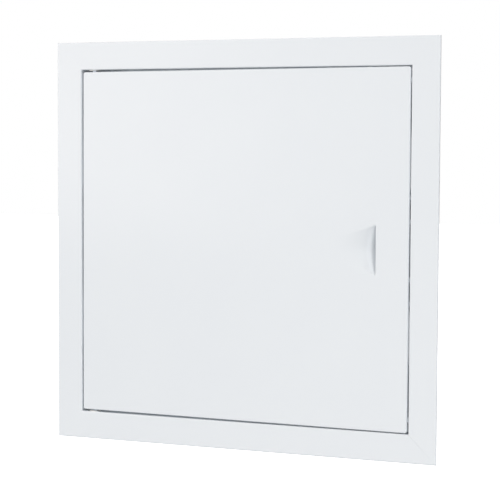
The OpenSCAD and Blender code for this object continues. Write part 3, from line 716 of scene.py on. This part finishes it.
class PANEL_OT_frame_sides(bpy.types.Operator):
    """Model the two rails and the two stiles of the folded frame"""
    bl_idname = "panel.frame_sides"
    bl_label = "Frame sides"

    def execute(self, context):
        sizes = context.scene.panel_frame
        hinge = context.scene.panel_hinge
        line = sizes.mitre_line
        # The lower mitre of the latch side shows a line; the other three are filled under the coat
        sides = (
            ("latch_stile", {"lower_line": line, "anchors": True}),
            ("top_rail", {}),
            ("hinge_stile", {"anchors": True}),
            ("bottom_rail", {"upper_line": line}),
        )
        collar = STILE_HIGH.x - sizes.flange + sizes.sheet / 2
        for quarters, (name, settings) in enumerate(sides):
            piece = folded_side(name, sizes, **settings)
            to_side = quarter_turn(quarters)
            place_by(piece, to_side)
            axis = to_side @ Vector((1, 0, 0))
            for way in (-1, 1):
                spot = to_side @ Vector((collar, sizes.fix_depth, way * sizes.fix_spacing / 2))
                drill(piece, spot, axis, sizes.fix_hole / 2)
            if name.endswith("rail"):
                drill(piece, (PIVOT.x, PIVOT.y, axis.z * collar), axis, hinge.bush_d / 2)
            dress(piece, "frame_powder_coat", "frame", f"frame_{name}")
        return {"FINISHED"}


class PANEL_OT_corner_brackets(bpy.types.Operator):
    """Model the four angle brackets that hold the mitres"""
    bl_idname = "panel.corner_brackets"
    bl_label = "Corner brackets"

    def execute(self, context):
        sizes = context.scene.panel_frame
        outside = CORNER_HIGH.x
        width = CORNER_HIGH.y - CORNER_LOW.y
        leg = sizes.bracket_leg + sizes.bracket_t
        # The outside radius of the bend, whose inside is sharp
        bend = 0.98 * sizes.bracket_t
        edge = 0.15 * MM
        middle = (outside, (CORNER_LOW.y + CORNER_HIGH.y) / 2, outside - leg / 2)
        piece = plate("bracket_pattern", leg, width, middle, (0, QUARTER, 0))
        pick(piece, "EDGE", edge_at(z=outside))
        pull_edges(x=-leg)
        pick(piece, "VERT", lambda v: near(v.co.x, outside - leg) or near(v.co.z, outside - leg))
        round_corners(sizes.bracket_corner, segments=4)
        round_fold(piece, bend, edge_at(x=outside, z=outside), segments=5)
        face_outwards(piece, (1, 0, 0), middle)
        thicken(piece, sizes.bracket_t)
        soften(piece, edge)
        corners = ("top_right", "top_left", "bottom_left", "bottom_right")
        for quarters, corner in enumerate(corners):
            twin = copy_of(piece, f"angle_{corner}")
            place_by(twin, quarter_turn(quarters))
            dress(twin, "zinc_steel", "frame", f"corner_bracket_{corner}")
        bpy.data.objects.remove(piece)
        return {"FINISHED"}


def rivet_pattern(hinge, grip):
    """Blind rivet along Z with its head's seat at the origin: pitted dome, shank and upset tail."""
    head_r = hinge.rivet_head_d / 2
    crown_r = (head_r ** 2 + hinge.rivet_head_h ** 2) / (2 * hinge.rivet_head_h)
    shank_r = hinge.rivet_d / 2
    pit_r = hinge.rivet_pit_d / 2
    pit_foot_r = 0.9 * pit_r
    tail_r = hinge.rivet_tail_d / 2
    bulge = grip + 0.6 * hinge.rivet_tail_h
    end = grip + hinge.rivet_tail_h
    edge = EDGE_BREAK
    pit_depth = 0.45 * MM
    steps = 5

    def dome(radius):
        return -(math.sqrt(crown_r ** 2 - radius ** 2) - (crown_r - hinge.rivet_head_h))

    rings = [(pit_foot_r, -hinge.rivet_head_h + pit_depth), (pit_r, dome(pit_r + edge) + edge)]
    for i in range(steps):
        radius = pit_r + edge + (head_r - edge - pit_r - edge) * i / (steps - 1)
        rings.append((radius, dome(radius)))
    rings += [(head_r, -edge / 2), (head_r - edge / 2, 0), (shank_r, 0), (shank_r, grip),
              (tail_r - edge, grip), (tail_r, grip + edge), (tail_r, bulge),
              (tail_r - 2 * edge, end - edge), (tail_r - 6 * edge, end)]
    return turned("rivet_pattern", rings, sides=24)


def fitted(door, place):
    """Place on the door as it was folded and fitted by hand, a little out of square."""
    x, z = place.x / DOOR_HIGH.x, place.z / DOOR_HIGH.z
    return place + Vector((door.lean * (1 + z) / 2, 0, door.taper * x * z))


class PANEL_OT_rivets(bpy.types.Operator):
    """Model the blind rivets of the brackets, the hinge, the catches and the door's corners"""
    bl_idname = "panel.rivets"
    bl_label = "Rivets"

    def execute(self, context):
        sizes = context.scene.panel_frame
        door = context.scene.panel_door
        hinge = context.scene.panel_hinge
        catch = context.scene.panel_catch
        opening = STILE_HIGH.x - sizes.flange
        corner_places = [
            quarter_turn(quarters) @ along((1, 0, 0), opening, sizes.fix_depth, way * (opening - inset))
            for quarters in range(4) for way in (-1, 1)
            for inset in (sizes.bracket_rivet_in, sizes.bracket_rivet_in + sizes.bracket_rivet_pitch)
        ]
        rivet_y = FACE_Y + door.rivet_depth
        rivet_z = DOOR_HIGH.z - door.rivet_edge

        def on_hinge(way):
            return [along((1, 0, 0), *fitted(door, Vector((DOOR_LOW.x - door.edge, rivet_y,
                                                           way * (rivet_z - i * hinge.rivet_pitch)))))
                    for i in (0, 1)]

        def on_latch(heights):
            return [along((-1, 0, 0), *fitted(door, Vector((DOOR_HIGH.x + door.edge, rivet_y, height))))
                    for height in heights]

        catch_heights = [s * CATCH_MID + t * catch.rivet_pitch / 2 for s in (-1, 1) for t in (-1, 1)]
        sheet = door.sheet + door.edge
        groups = (
            ("corner_rivets", "frame_corner_rivets", "frame", sizes.sheet + sizes.bracket_t, corner_places),
            ("hinge_rivets_upper", "hinge_bracket_rivets", "door", sheet + hinge.bracket_t, on_hinge(1)),
            ("hinge_rivets_lower", "lower_bracket_rivets", "door", sheet + hinge.bracket_t, on_hinge(-1)),
            ("door_rivets", "door_corner_rivets", "door", sheet + door.sheet, on_latch([-rivet_z, rivet_z])),
            ("catch_rivets", "magnet_rivets", "door", sheet + catch.foot_t, on_latch(catch_heights)),
        )
        for name, node, body, grip, places in groups:
            pattern = rivet_pattern(hinge, grip)
            group = stamp(pattern, name, places)
            bpy.data.objects.remove(pattern)
            dress(group, "rivet_coat", body, node)
        return {"FINISHED"}


class PANEL_OT_door(bpy.types.Operator):
    """Model the folded door with its pressed and slit finger pull"""
    bl_idname = "panel.door"
    bl_label = "Door"

    def execute(self, context):
        sizes = context.scene.panel_door
        hinge = context.scene.panel_hinge
        piece = self.face_with_field(sizes)
        self.fold_edges(piece, sizes)
        face_outwards(piece, (0, -1, 0), (0, FACE_Y, 0))
        self.press_scoop(piece, sizes)
        thicken(piece, sizes.sheet)
        soften(piece, EDGE_BREAK, degrees=60)
        self.fit(piece, sizes)
        for way in (-1, 1):
            drill(piece, (PIVOT.x, PIVOT.y, way * DOOR_HIGH.z), (0, 0, 1),
                  hinge.pin_d / 2 + 2 * hinge.bore_clear)
        self.add_tabs(piece, sizes)
        dress(piece, "door_powder_coat", "door", "door_panel")
        return {"FINISHED"}

    def face_with_field(self, sizes):
        """The flat face with rounded corners and a finely divided field, slit along its latch side."""
        pull_x = DOOR_HIGH.x - sizes.pull_inset
        field_x = pull_x - sizes.pull_field
        half = sizes.pull_field / 2
        cuts = 95
        piece = plate("door_pan", 2 * (DOOR_HIGH.x + sizes.edge), 2 * (DOOR_HIGH.z + sizes.edge),
                      (0, FACE_Y, 0), (QUARTER, 0, 0))
        round_corners(sizes.corner, segments=6)
        for x in (field_x, pull_x):
            bpy.ops.mesh.select_all(action="SELECT")
            cut((x, 0, 0), (1, 0, 0))

        def strip(face):
            return field_x < face.calc_center_median().x < pull_x

        def field(face):
            return strip(face) and abs(face.calc_center_median().z) < half

        for z in (-half, half):
            pick(piece, "FACE", strip)
            cut((0, 0, z), (0, 0, 1))
        pick(piece, "FACE", field)
        bpy.ops.mesh.subdivide(number_cuts=cuts, ngon=True)
        pick(piece, "EDGE", lambda e: edge_at(x=pull_x)(e)
             and all(abs(v.co.z) < sizes.pull_h / 2 + TOUCH for v in e.verts))
        bpy.ops.mesh.edge_split(type="EDGE")
        # The press moves the field inside its border and the slit's two ends
        pick(piece, "FACE", field)
        bpy.ops.object.vertex_group_add()
        bpy.ops.object.vertex_group_assign()
        pick(piece, "VERT", lambda v: near(v.co.x, field_x) or near(abs(v.co.z), half)
             or (near(v.co.x, pull_x) and abs(v.co.z) > sizes.pull_h / 2 - TOUCH))
        bpy.ops.object.vertex_group_remove_from()
        return piece

    def fold_edges(self, piece, sizes):
        """Folds the returns and the back lips, with the lips' mitres and the catches' notches."""
        half_x = DOOR_HIGH.x + sizes.edge
        half_z = DOOR_HIGH.z + sizes.edge
        inside = sizes.corner + TOUCH
        # A face is a return where the part of its normal along Y is under this
        steep = 0.5

        def on_outline(vert):
            return abs(vert.co.x) > half_x - inside or abs(vert.co.z) > half_z - inside

        def rim(edge):
            return edge.is_boundary and all(on_outline(v) for v in edge.verts)

        pick(piece, "EDGE", rim)
        pull_edges(y=BACK_Y - FACE_Y)
        notch_ends = [s * CATCH_MID + t * sizes.notch / 2 for s in (-1, 1) for t in (-1, 1)]
        for z in notch_ends:
            pick(piece, "FACE", lambda f: all(near(v.co.x, half_x) for v in f.verts))
            cut((0, 0, z), (0, 0, 1))

        def in_notch(edge):
            height = abs((edge.verts[0].co.z + edge.verts[1].co.z) / 2)
            return abs(height - CATCH_MID) < sizes.notch / 2

        def fold(edge, y):
            return (not edge.is_boundary and all(near(v.co.y, y) for v in edge.verts)
                    and any(abs(f.normal.y) < steep for f in edge.link_faces))

        mitre = sizes.lip - sizes.corner + sizes.lip_slit / math.sqrt(2)
        for axis, across, half in (("x", "z", half_x), ("z", "x", half_z)):
            for side in (-1, 1):
                latch = axis == "x" and side > 0
                end = (half_z if axis == "x" else half_x) - sizes.corner
                pick(piece, "EDGE", lambda e: edge_at(**{axis: side * half, "y": BACK_Y})(e)
                     and not (latch and in_notch(e)))
                pull_edges(**{axis: -side * sizes.lip})
                for way in (-1, 1):
                    pick(piece, "VERT", lambda v: near(getattr(v.co, axis), side * (half - sizes.lip))
                         and near(getattr(v.co, across), way * end) and near(v.co.y, BACK_Y))
                    move = {"x": 0, "y": 0, "z": 0, across: -way * mitre}
                    bpy.ops.transform.translate(value=(move["x"], move["y"], move["z"]))
        round_fold(piece, sizes.bend, lambda e: fold(e, FACE_Y) and all(on_outline(v) for v in e.verts),
                   segments=5)
        round_fold(piece, sizes.bend, lambda e: fold(e, BACK_Y), segments=4)

    def press_scoop(self, piece, sizes):
        """Presses the field in along a keel that rises from the slit to the tip, and eases the rim."""
        object_mode()
        group = piece.vertex_groups[0]
        pull_x = DOOR_HIGH.x - sizes.pull_inset
        for vert in piece.data.vertices:
            if any(member.group == group.index for member in vert.groups):
                from_slit = pull_x - vert.co.x
                narrowing = 1 - from_slit / sizes.pull_apex
                across = vert.co.z / (sizes.pull_h / 2 * narrowing)
                rise = math.hypot(across, sizes.pull_keel) - sizes.pull_keel
                hollow = 1 - rise / (math.hypot(1, sizes.pull_keel) - sizes.pull_keel)
                keel = narrowing * max(0, 1 - from_slit / sizes.pull_len) ** sizes.pull_curve
                throat = max(0, 1 - from_slit / sizes.pull_throat) ** 2
                sink = sizes.pull_depth * keel + sizes.pull_dip * throat
                vert.co.y += sink * max(0, hollow) ** (1 - sizes.pull_full * throat)
        apply_modifier(piece, "SMOOTH", factor=0.5, iterations=10, use_x=False, use_y=True, use_z=False,
                       vertex_group=group.name)

    def fit(self, piece, sizes):
        """Brings a square piece of the door to its fitted shape."""
        for vert in piece.data.vertices:
            vert.co = fitted(sizes, vert.co)

    def add_tabs(self, piece, sizes):
        """Joins the two corner tabs that are folded behind the latch return."""
        inner = DOOR_HIGH.x + sizes.edge - sizes.sheet
        top = DOOR_HIGH.z + sizes.edge - sizes.sheet
        front = FACE_Y + sizes.bend
        back = BACK_Y - 2 * sizes.bend
        tabs = []
        for way in (-1, 1):
            middle = (inner - sizes.sheet, (front + back) / 2, way * (top - sizes.tab / 2))
            tab = plate("corner_tab", sizes.tab, back - front, middle, (0, -QUARTER, 0))
            pick(tab, "VERT", lambda v: abs(v.co.z) < top - sizes.tab / 2)
            round_corners(sizes.tab_corner, segments=4)
            face_outwards(tab, (-1, 0, 0), (inner, 0, 0))
            thicken(tab, sizes.sheet)
            self.fit(tab, sizes)
            tabs.append(tab)
        activate(piece)
        for tab in tabs:
            tab.select_set(True)
        bpy.ops.object.join()


class PANEL_OT_hinge_brackets(bpy.types.Operator):
    """Model the channel bracket of the release pin and the angle bracket of the lower pivot"""
    bl_idname = "panel.hinge_brackets"
    bl_label = "Hinge brackets"

    def execute(self, context):
        hinge = context.scene.panel_hinge
        door = context.scene.panel_door
        for name, node, flip, ears in (("hinge_channel", "hinge_bracket", 1, 2),
                                       ("pivot_angle", "lower_pivot_bracket", -1, 1)):
            piece = self.bracket(name, hinge, door, flip, ears)
            dress(piece, "zinc_steel", "door", node)
        return {"FINISHED"}

    def bracket(self, name, hinge, door, flip, ears):
        """Bracket on the hinge return with one or two round ears about the pivot axis."""
        low, high = UPPER_BRACKET_LOW, UPPER_BRACKET_HIGH
        ends = [flip * high.z, flip * low.z]
        seat = fitted(door, Vector((DOOR_LOW.x - door.edge + door.sheet, 0, ends[0]))).x
        width = high.y - low.y
        # A hair under half the width, so that an ear's two rounded corners stay apart
        ear_r = 0.499 * width
        edge = 0.18 * MM
        middle = (seat, (low.y + high.y) / 2, sum(ends) / 2)
        piece = plate(name, high.z - low.z, width, middle, (0, -QUARTER, 0))
        for z in ends[:ears]:
            pick(piece, "EDGE", edge_at(z=z))
            pull_edges(x=high.x - seat)
        pick(piece, "VERT", lambda v: near(v.co.x, high.x))
        round_corners(ear_r, segments=10)
        if ears == 1:
            pick(piece, "VERT", lambda v: near(v.co.x, seat) and near(v.co.z, ends[1]))
            round_corners(hinge.bracket_corner, segments=5)
        for z in ends[:ears]:
            round_fold(piece, hinge.bracket_bend, edge_at(x=seat, z=z), segments=5)
        face_outwards(piece, (-1, 0, 0), middle)
        thicken(piece, hinge.bracket_t)
        soften(piece, edge)
        drill(piece, (PIVOT.x, PIVOT.y, sum(ends) / 2), (0, 0, 1), hinge.pin_d / 2 + hinge.bore_clear,
              high.z - low.z)
        return piece


class PANEL_OT_pivots(bpy.types.Operator):
    """Model the two bushes, the lower pin and its washer"""
    bl_idname = "panel.pivots"
    bl_label = "Pivots"

    def execute(self, context):
        hinge = context.scene.panel_hinge
        axis_place = Matrix.Translation((PIVOT.x, PIVOT.y, 0))
        bore_r = hinge.pin_d / 2 + hinge.bore_clear
        opening = CAD_HIGH.z - context.scene.panel_frame.flange
        self.bushes(hinge, bore_r, axis_place, opening)
        self.lower_pin(hinge, axis_place)
        edge = 0.1 * MM
        rim_r = (WASHER_HIGH.x - WASHER_LOW.x) / 2
        low, high = WASHER_LOW.z, WASHER_HIGH.z
        washer = turned("thrust_washer", [
            (bore_r, high), (rim_r - edge, high), (rim_r, high - edge), (rim_r, low + edge),
            (rim_r - edge, low), (bore_r, low), (bore_r, high)], bored=True)
        place_by(washer, axis_place)
        dress(washer, "zinc_steel", "door", "pivot_washer")
        return {"FINISHED"}

    def bushes(self, hinge, bore_r, axis_place, seat):
        """Flanged bush with a snap ridge, set at the top and, upside down, at the bottom."""
        face = seat - hinge.bush_flange_t
        end = BUSH_HIGH.z
        flange_r = (BUSH_HIGH.x - BUSH_LOW.x) / 2
        body_r = hinge.bush_d / 2
        ridge_r = body_r + hinge.bush_ridge
        ridge = seat + hinge.bush_grip
        edge = 0.25 * MM
        bush = turned("flanged_bush_top", [
            (bore_r + edge, face), (flange_r - edge, face), (flange_r, face + edge), (flange_r, seat),
            (body_r, seat), (body_r, ridge), (ridge_r, ridge), (ridge_r, ridge + edge / 2),
            (body_r, ridge + 4 * edge), (body_r, end - edge), (body_r - edge, end), (bore_r + edge, end),
            (bore_r, end - edge), (bore_r, face + edge), (bore_r + edge, face)], bored=True)
        place_by(bush, axis_place)
        twin = copy_of(bush, "flanged_bush_bottom")
        place_by(twin, Matrix.Translation((0, 2 * PIVOT.y, 0)) @ Matrix.Rotation(math.pi, 4, "X"))
        dress(bush, "nylon", "frame", "pivot_bush_top")
        dress(twin, "nylon", "frame", "pivot_bush_bottom")

    def lower_pin(self, hinge, axis_place):
        """Headed pin with a chamfered nose."""
        pin_r = hinge.pin_d / 2
        head_r = hinge.head_d / 2
        top = LOWER_PIN_HIGH.z
        seat = top - hinge.head_h
        tip = LOWER_PIN_LOW.z
        edge = 0.3 * MM
        pin = turned("lower_pin", [
            (head_r - 2 * edge, top), (head_r - edge / 3, top - edge), (head_r, top - 2 * edge),
            (head_r, seat + edge / 2), (head_r - edge / 2, seat), (pin_r, seat),
            (pin_r, tip + hinge.pin_nose), (pin_r - hinge.pin_nose, tip)])
        place_by(pin, axis_place)
        dress(pin, "zinc_steel", "door", "lower_pivot_pin")


class PANEL_OT_release_pin(bpy.types.Operator):
    """Model the bent release pin, its clip and its spring"""
    bl_idname = "panel.release_pin"
    bl_label = "Release pin"

    def execute(self, context):
        hinge = context.scene.panel_hinge
        self.bent_pin(hinge)
        self.clip(hinge)
        self.spring(hinge)
        return {"FINISHED"}

    def bent_pin(self, hinge):
        """Grooved shank, quarter bend and pull tail."""
        pin_r = hinge.pin_d / 2
        nose = hinge.pin_nose
        groove_r = pin_r - hinge.pin_groove
        tail_z = PIN_LOW.z + pin_r
        bend_z = tail_z + hinge.pin_bend
        groove_top = CLIP_HIGH.z + hinge.clip_room
        groove_foot = CLIP_LOW.z - hinge.clip_room
        slack = 0.1 * MM
        pin = turned("bent_release_pin", [
            (pin_r - nose, PIN_HIGH.z), (pin_r, PIN_HIGH.z - nose), (pin_r, groove_top),
            (groove_r, groove_top), (groove_r, groove_foot), (pin_r, groove_foot), (pin_r, bend_z)])
        place_by(pin, Matrix.Translation((PIVOT.x, PIVOT.y, 0)))
        resume(pin)
        pick(pin, "FACE", lambda f: all(near(v.co.z, bend_z) for v in f.verts))
        bpy.ops.mesh.delete(type="ONLY_FACE")
        pick(pin, "EDGE", edge_at(z=bend_z))
        tail_from = PIVOT.x + hinge.pin_bend
        bpy.ops.mesh.spin(steps=14, angle=QUARTER, center=(tail_from, PIVOT.y, bend_z), axis=(0, 1, 0))
        mesh = bmesh.from_edit_mesh(pin.data)
        lowest = min(v.co.z for v in mesh.verts)
        if not near(lowest, PIN_LOW.z, slack):
            raise RuntimeError("the release pin was bent the wrong way")
        pull_edges(x=PIN_HIGH.x - nose - tail_from)
        pull_edges(x=nose)
        slim = (pin_r - nose) / pin_r
        bpy.ops.transform.resize(value=(1, slim, slim), center_override=(PIN_HIGH.x, PIVOT.y, tail_z))
        bpy.ops.mesh.edge_face_add()
        close_shell(pin)
        dress(pin, "zinc_steel", "release_pin", "release_pin")

    def clip(self, hinge):
        """Slotted ring in the pin's groove, spun from its section."""
        inner = hinge.pin_d / 2 - hinge.pin_groove + hinge.clip_room
        outer = (CLIP_HIGH.y - CLIP_LOW.y) / 2
        middle = (inner + outer) / 2
        height = CLIP_HIGH.z - CLIP_LOW.z
        half_slot = math.radians(32)
        place = Vector((PIVOT.x + middle * math.cos(half_slot), PIVOT.y + middle * math.sin(half_slot),
                        (CLIP_LOW.z + CLIP_HIGH.z) / 2))
        clip = plate("retaining_clip", outer - inner, height, place, (QUARTER, 0, half_slot))
        bpy.ops.mesh.spin(steps=36, angle=math.tau - 2 * half_slot, center=(PIVOT.x, PIVOT.y, 0),
                          axis=(0, 0, 1))
        close_shell(clip)
        soften(clip, EDGE_BREAK)
        dress(clip, "zinc_steel", "release_pin", "pin_clip")

    def spring(self, hinge):
        """Compression spring with one closed turn at each end, swept along its helix."""
        wire = hinge.spring_wire
        turns = hinge.spring_turns
        mean_r = (SPRING_HIGH.x - SPRING_LOW.x - wire) / 2
        tall = SPRING_HIGH.z - SPRING_LOW.z
        pitch = (tall - 3 * wire) / (turns - 2)
        steps = 24
        line = bpy.data.curves.new("pin_coil", "CURVE")
        line.dimensions = "3D"
        line.bevel_depth = wire / 2
        line.bevel_resolution = 3
        line.use_fill_caps = True
        spline = line.splines.new("POLY")
        spline.points.add(turns * steps)
        for i, point in enumerate(spline.points):
            done = i / steps
            closed = min(done, 1) + max(0, done - turns + 1)
            opened = max(0, min(done - 1, turns - 2))
            rise = wire * (0.5 + closed) + pitch * opened
            swing = math.tau * done
            point.co = (PIVOT.x + mean_r * math.cos(swing), PIVOT.y + mean_r * math.sin(swing),
                        SPRING_LOW.z + rise, 1)
        coil = bpy.data.objects.new("pin_coil", line)
        bpy.context.scene.collection.objects.link(coil)
        activate(coil)
        bpy.ops.object.convert(target="MESH")
        coil = bpy.context.active_object
        close_shell(coil)
        dress(coil, "spring_steel", "door", "pin_spring", smooth=60)
        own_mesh(coil)


class PANEL_OT_catches(bpy.types.Operator):
    """Model the two moulded catch housings and finish their magnets and pole plates"""
    bl_idname = "panel.catches"
    bl_label = "Magnetic catches"

    def execute(self, context):
        sizes = context.scene.panel_catch
        housing = self.housing(sizes)
        for level, way in (("upper", 1), ("lower", -1)):
            twin = copy_of(housing, f"catch_housing_{level}")
            place_by(twin, Matrix.Translation((0, 0, way * CATCH_MID)))
            dress(twin, "nylon", "door", f"magnet_housing_{level}")
            for node, finish in (("magnet", "ferrite"), ("pole_plates", "zinc_steel")):
                slot = frame["nodes"][f"{node}_{level}"].material_slots[0]
                slot.link = "OBJECT"
                slot.material = finish_named(finish)
        bpy.data.objects.remove(housing)
        return {"FINISHED"}

    def housing(self, sizes):
        """Foot and body in one moulding, with a pocket open at the back."""
        low, high = CATCH_LOW, CATCH_HIGH
        front = FACE_Y + sizes.body_front
        body = begin("housing_pattern", bpy.ops.mesh.primitive_cube_add, size=1,
                     location=((low.x + high.x) / 2, (front + high.y) / 2, 0),
                     scale=(high.x - low.x, high.y - front, sizes.body_h))
        pick(body, "FACE", lambda f: near(f.normal.y, 1))
        bpy.ops.mesh.inset(thickness=sizes.wall)
        pull_faces(y=-sizes.pocket)
        foot = begin("foot_pattern", bpy.ops.mesh.primitive_cube_add, size=1,
                     location=(high.x - sizes.foot_t / 2, low.y + sizes.foot_depth / 2, 0),
                     scale=(sizes.foot_t, sizes.foot_depth, high.z - low.z))
        pick(foot, "EDGE", lambda e: abs(e.verts[0].co.x - e.verts[1].co.x) > TOUCH)
        bpy.ops.mesh.bevel(offset=sizes.foot_corner, segments=4, affect="EDGES")
        object_mode()
        apply_modifier(body, "BOOLEAN", object=foot, operation="UNION", solver="EXACT")
        bpy.data.objects.remove(foot)
        soften(body, sizes.corner, segments=3, degrees=40)
        return body


class PANEL_OT_stage(bpy.types.Operator):
    """Set the pale floor, the studio light and the camera"""
    bl_idname = "panel.stage"
    bl_label = "Stage"

    def execute(self, context):
        stage = context.scene.panel_stage
        self.floor(context.scene.panel_finishes, stage)
        self.room(context, stage)
        self.camera(context, stage)
        context.scene.view_settings.view_transform = "Standard"
        return {"FINISHED"}

    def floor(self, finishes, stage):
        """Pale floor under the panel, as bright as the white ground behind it."""
        floor = begin("floor", bpy.ops.mesh.primitive_plane_add, size=8, location=(0, 0, CAD_LOW.z))
        object_mode()
        # A matt white paint, with a glow that stands for the lamps over a lit studio floor
        grain_mm = 25
        material, tree, shader, place = new_material("pale_painted_floor")
        grain = add_node(tree, "ShaderNodeTexNoise", inputs={"Vector": place, "Scale": 1 / (grain_mm * MM),
                                                             "Detail": 2})
        matt = add_node(tree, "ShaderNodeMapRange", inputs={"Value": grain.outputs["Fac"],
                                                            "To Min": 0.75, "To Max": 0.9})
        paint = opaque(finishes.floor)
        fill_inputs(tree, shader, {"Base Color": paint, "Roughness": matt.outputs["Result"],
                                   "Emission Color": paint, "Emission Strength": stage.glow})
        floor.data.materials.append(material)
        # The light from below is the room's own, so the floor neither adds to it nor takes from it
        floor.visible_diffuse = False
        floor.visible_glossy = False
        floor.visible_shadow = False

    def room(self, context, stage):
        """Studio that is seen as plain white, and lights the panel by the directions of its five lights."""
        world = bpy.data.worlds.new("studio")
        world.use_nodes = True
        tree = world.node_tree
        sight = add_node(tree, "ShaderNodeTexCoord").outputs["Generated"]
        parts = add_node(tree, "ShaderNodeSeparateXYZ", inputs={"Vector": sight})
        white = (1, 1, 1)
        whole = (0, 1)
        # Each light has a tint, a strength and, for each axis that bounds it, the limits between which it
        # sets in and its shares at those limits
        lights = (
            (white, 1, {"Z": (stage.fill_rise, (stage.under, stage.over))}),
            (white, stage.behind, {"Y": (stage.behind_depth, whole),
                                   "Z": (stage.behind_rise, (stage.behind_low, 1))}),
            # The softbox at the front left is mirrored in the upper left of the door
            (stage.key_tint, stage.key, {"X": (stage.key_side, whole), "Z": (stage.key_rise, whole),
                                         "Y": (stage.key_depth, whole)}),
            # The light straight ahead is mirrored in the latch side
            (stage.front_tint, stage.front, {"Y": (stage.front_depth, whole)}),
            (white, stage.flank, {"X": (stage.flank_side, whole), "Y": (stage.flank_depth, whole)}),
        )
        glows = []
        for tint, strength, sets_in in lights:
            for axis, ((start, end), (low, high)) in sets_in.items():
                share = add_node(tree, "ShaderNodeMapRange", {"interpolation_type": "SMOOTHSTEP"},
                                 {"Value": parts.outputs[axis], "From Min": start, "From Max": end,
                                  "To Min": low, "To Max": high})
                strength = add_node(tree, "ShaderNodeMath", {"operation": "MULTIPLY"},
                                    {0: strength, 1: share.outputs["Result"]}).outputs["Value"]
            glow = add_node(tree, "ShaderNodeBackground",
                            inputs={"Color": opaque(tint), "Strength": strength})
            glows.append(glow.outputs["Background"])
        lit = glows[0]
        for glow in glows[1:]:
            lit = add_node(tree, "ShaderNodeAddShader", inputs={0: lit, 1: glow}).outputs["Shader"]
        seen = add_node(tree, "ShaderNodeLightPath").outputs["Is Camera Ray"]
        ground = add_node(tree, "ShaderNodeBackground", inputs={"Color": opaque(white), "Strength": 1})
        surface = add_node(tree, "ShaderNodeMixShader",
                           inputs={0: seen, 1: lit, 2: ground.outputs["Background"]})
        fill_inputs(tree, tree.nodes["World Output"], {"Surface": surface.outputs["Shader"]})
        context.scene.world = world

    def camera(self, context, stage):
        """Camera at the viewing angle, on a long lens."""
        turn_out = (math.sin(stage.azimuth), math.cos(stage.azimuth))
        level = math.cos(stage.elevation)
        back = Vector((turn_out[0] * level, -turn_out[1] * level, math.sin(stage.elevation)))
        right = Vector((turn_out[1], turn_out[0], 0))
        up = back.cross(right)
        rolled_right = math.cos(stage.roll) * right + math.sin(stage.roll) * up
        rolled_up = back.cross(rolled_right)
        target = Vector((stage.target_x, 0, stage.target_z))
        object_mode()
        bpy.ops.object.camera_add()
        camera = bpy.context.active_object
        pose = Matrix((rolled_right, rolled_up, back)).transposed().to_4x4()
        pose.translation = target + back * stage.distance
        camera.matrix_world = pose
        camera.data.lens = stage.focal * camera.data.sensor_width
        context.scene.camera = camera


OPERATORS = (PANEL_OT_stage, PANEL_OT_frame_sides, PANEL_OT_corner_brackets, PANEL_OT_rivets, PANEL_OT_door,
             PANEL_OT_hinge_brackets, PANEL_OT_pivots, PANEL_OT_release_pin, PANEL_OT_catches)
SETTINGS = {"panel_frame": FrameSizes, "panel_door": DoorSizes, "panel_hinge": HingeSizes,
            "panel_catch": CatchSizes, "panel_finishes": Finishes, "panel_stage": StageSettings}


class PANEL_PT_sidebar(bpy.types.Panel):
    """Lists the pieces and the sizes of the access panel"""
    bl_label = "Access Panel"
    bl_idname = "PANEL_PT_sidebar"
    bl_space_type = "VIEW_3D"
    bl_region_type = "UI"
    bl_category = "Access Panel"

    def draw(self, context):
        for operator in OPERATORS:
            self.layout.operator(operator.bl_idname)
        for name in SETTINGS:
            box = self.layout.box()
            settings = getattr(context.scene, name)
            for key in settings.__annotations__:
                box.prop(settings, key)


def register():
    for group in (*SETTINGS.values(), *OPERATORS, PANEL_PT_sidebar):
        bpy.utils.register_class(group)
    for name, group in SETTINGS.items():
        setattr(bpy.types.Scene, name, bpy.props.PointerProperty(type=group))


def unregister():
    for name in SETTINGS:
        delattr(bpy.types.Scene, name)
    for group in (PANEL_PT_sidebar, *reversed(OPERATORS), *reversed(list(SETTINGS.values()))):
        bpy.utils.unregister_class(group)


def main():
    register()
    for operator in OPERATORS:
        group, name = operator.bl_idname.split(".")
        getattr(getattr(bpy.ops, group), name)()


if __name__ == "__main__":
    main()
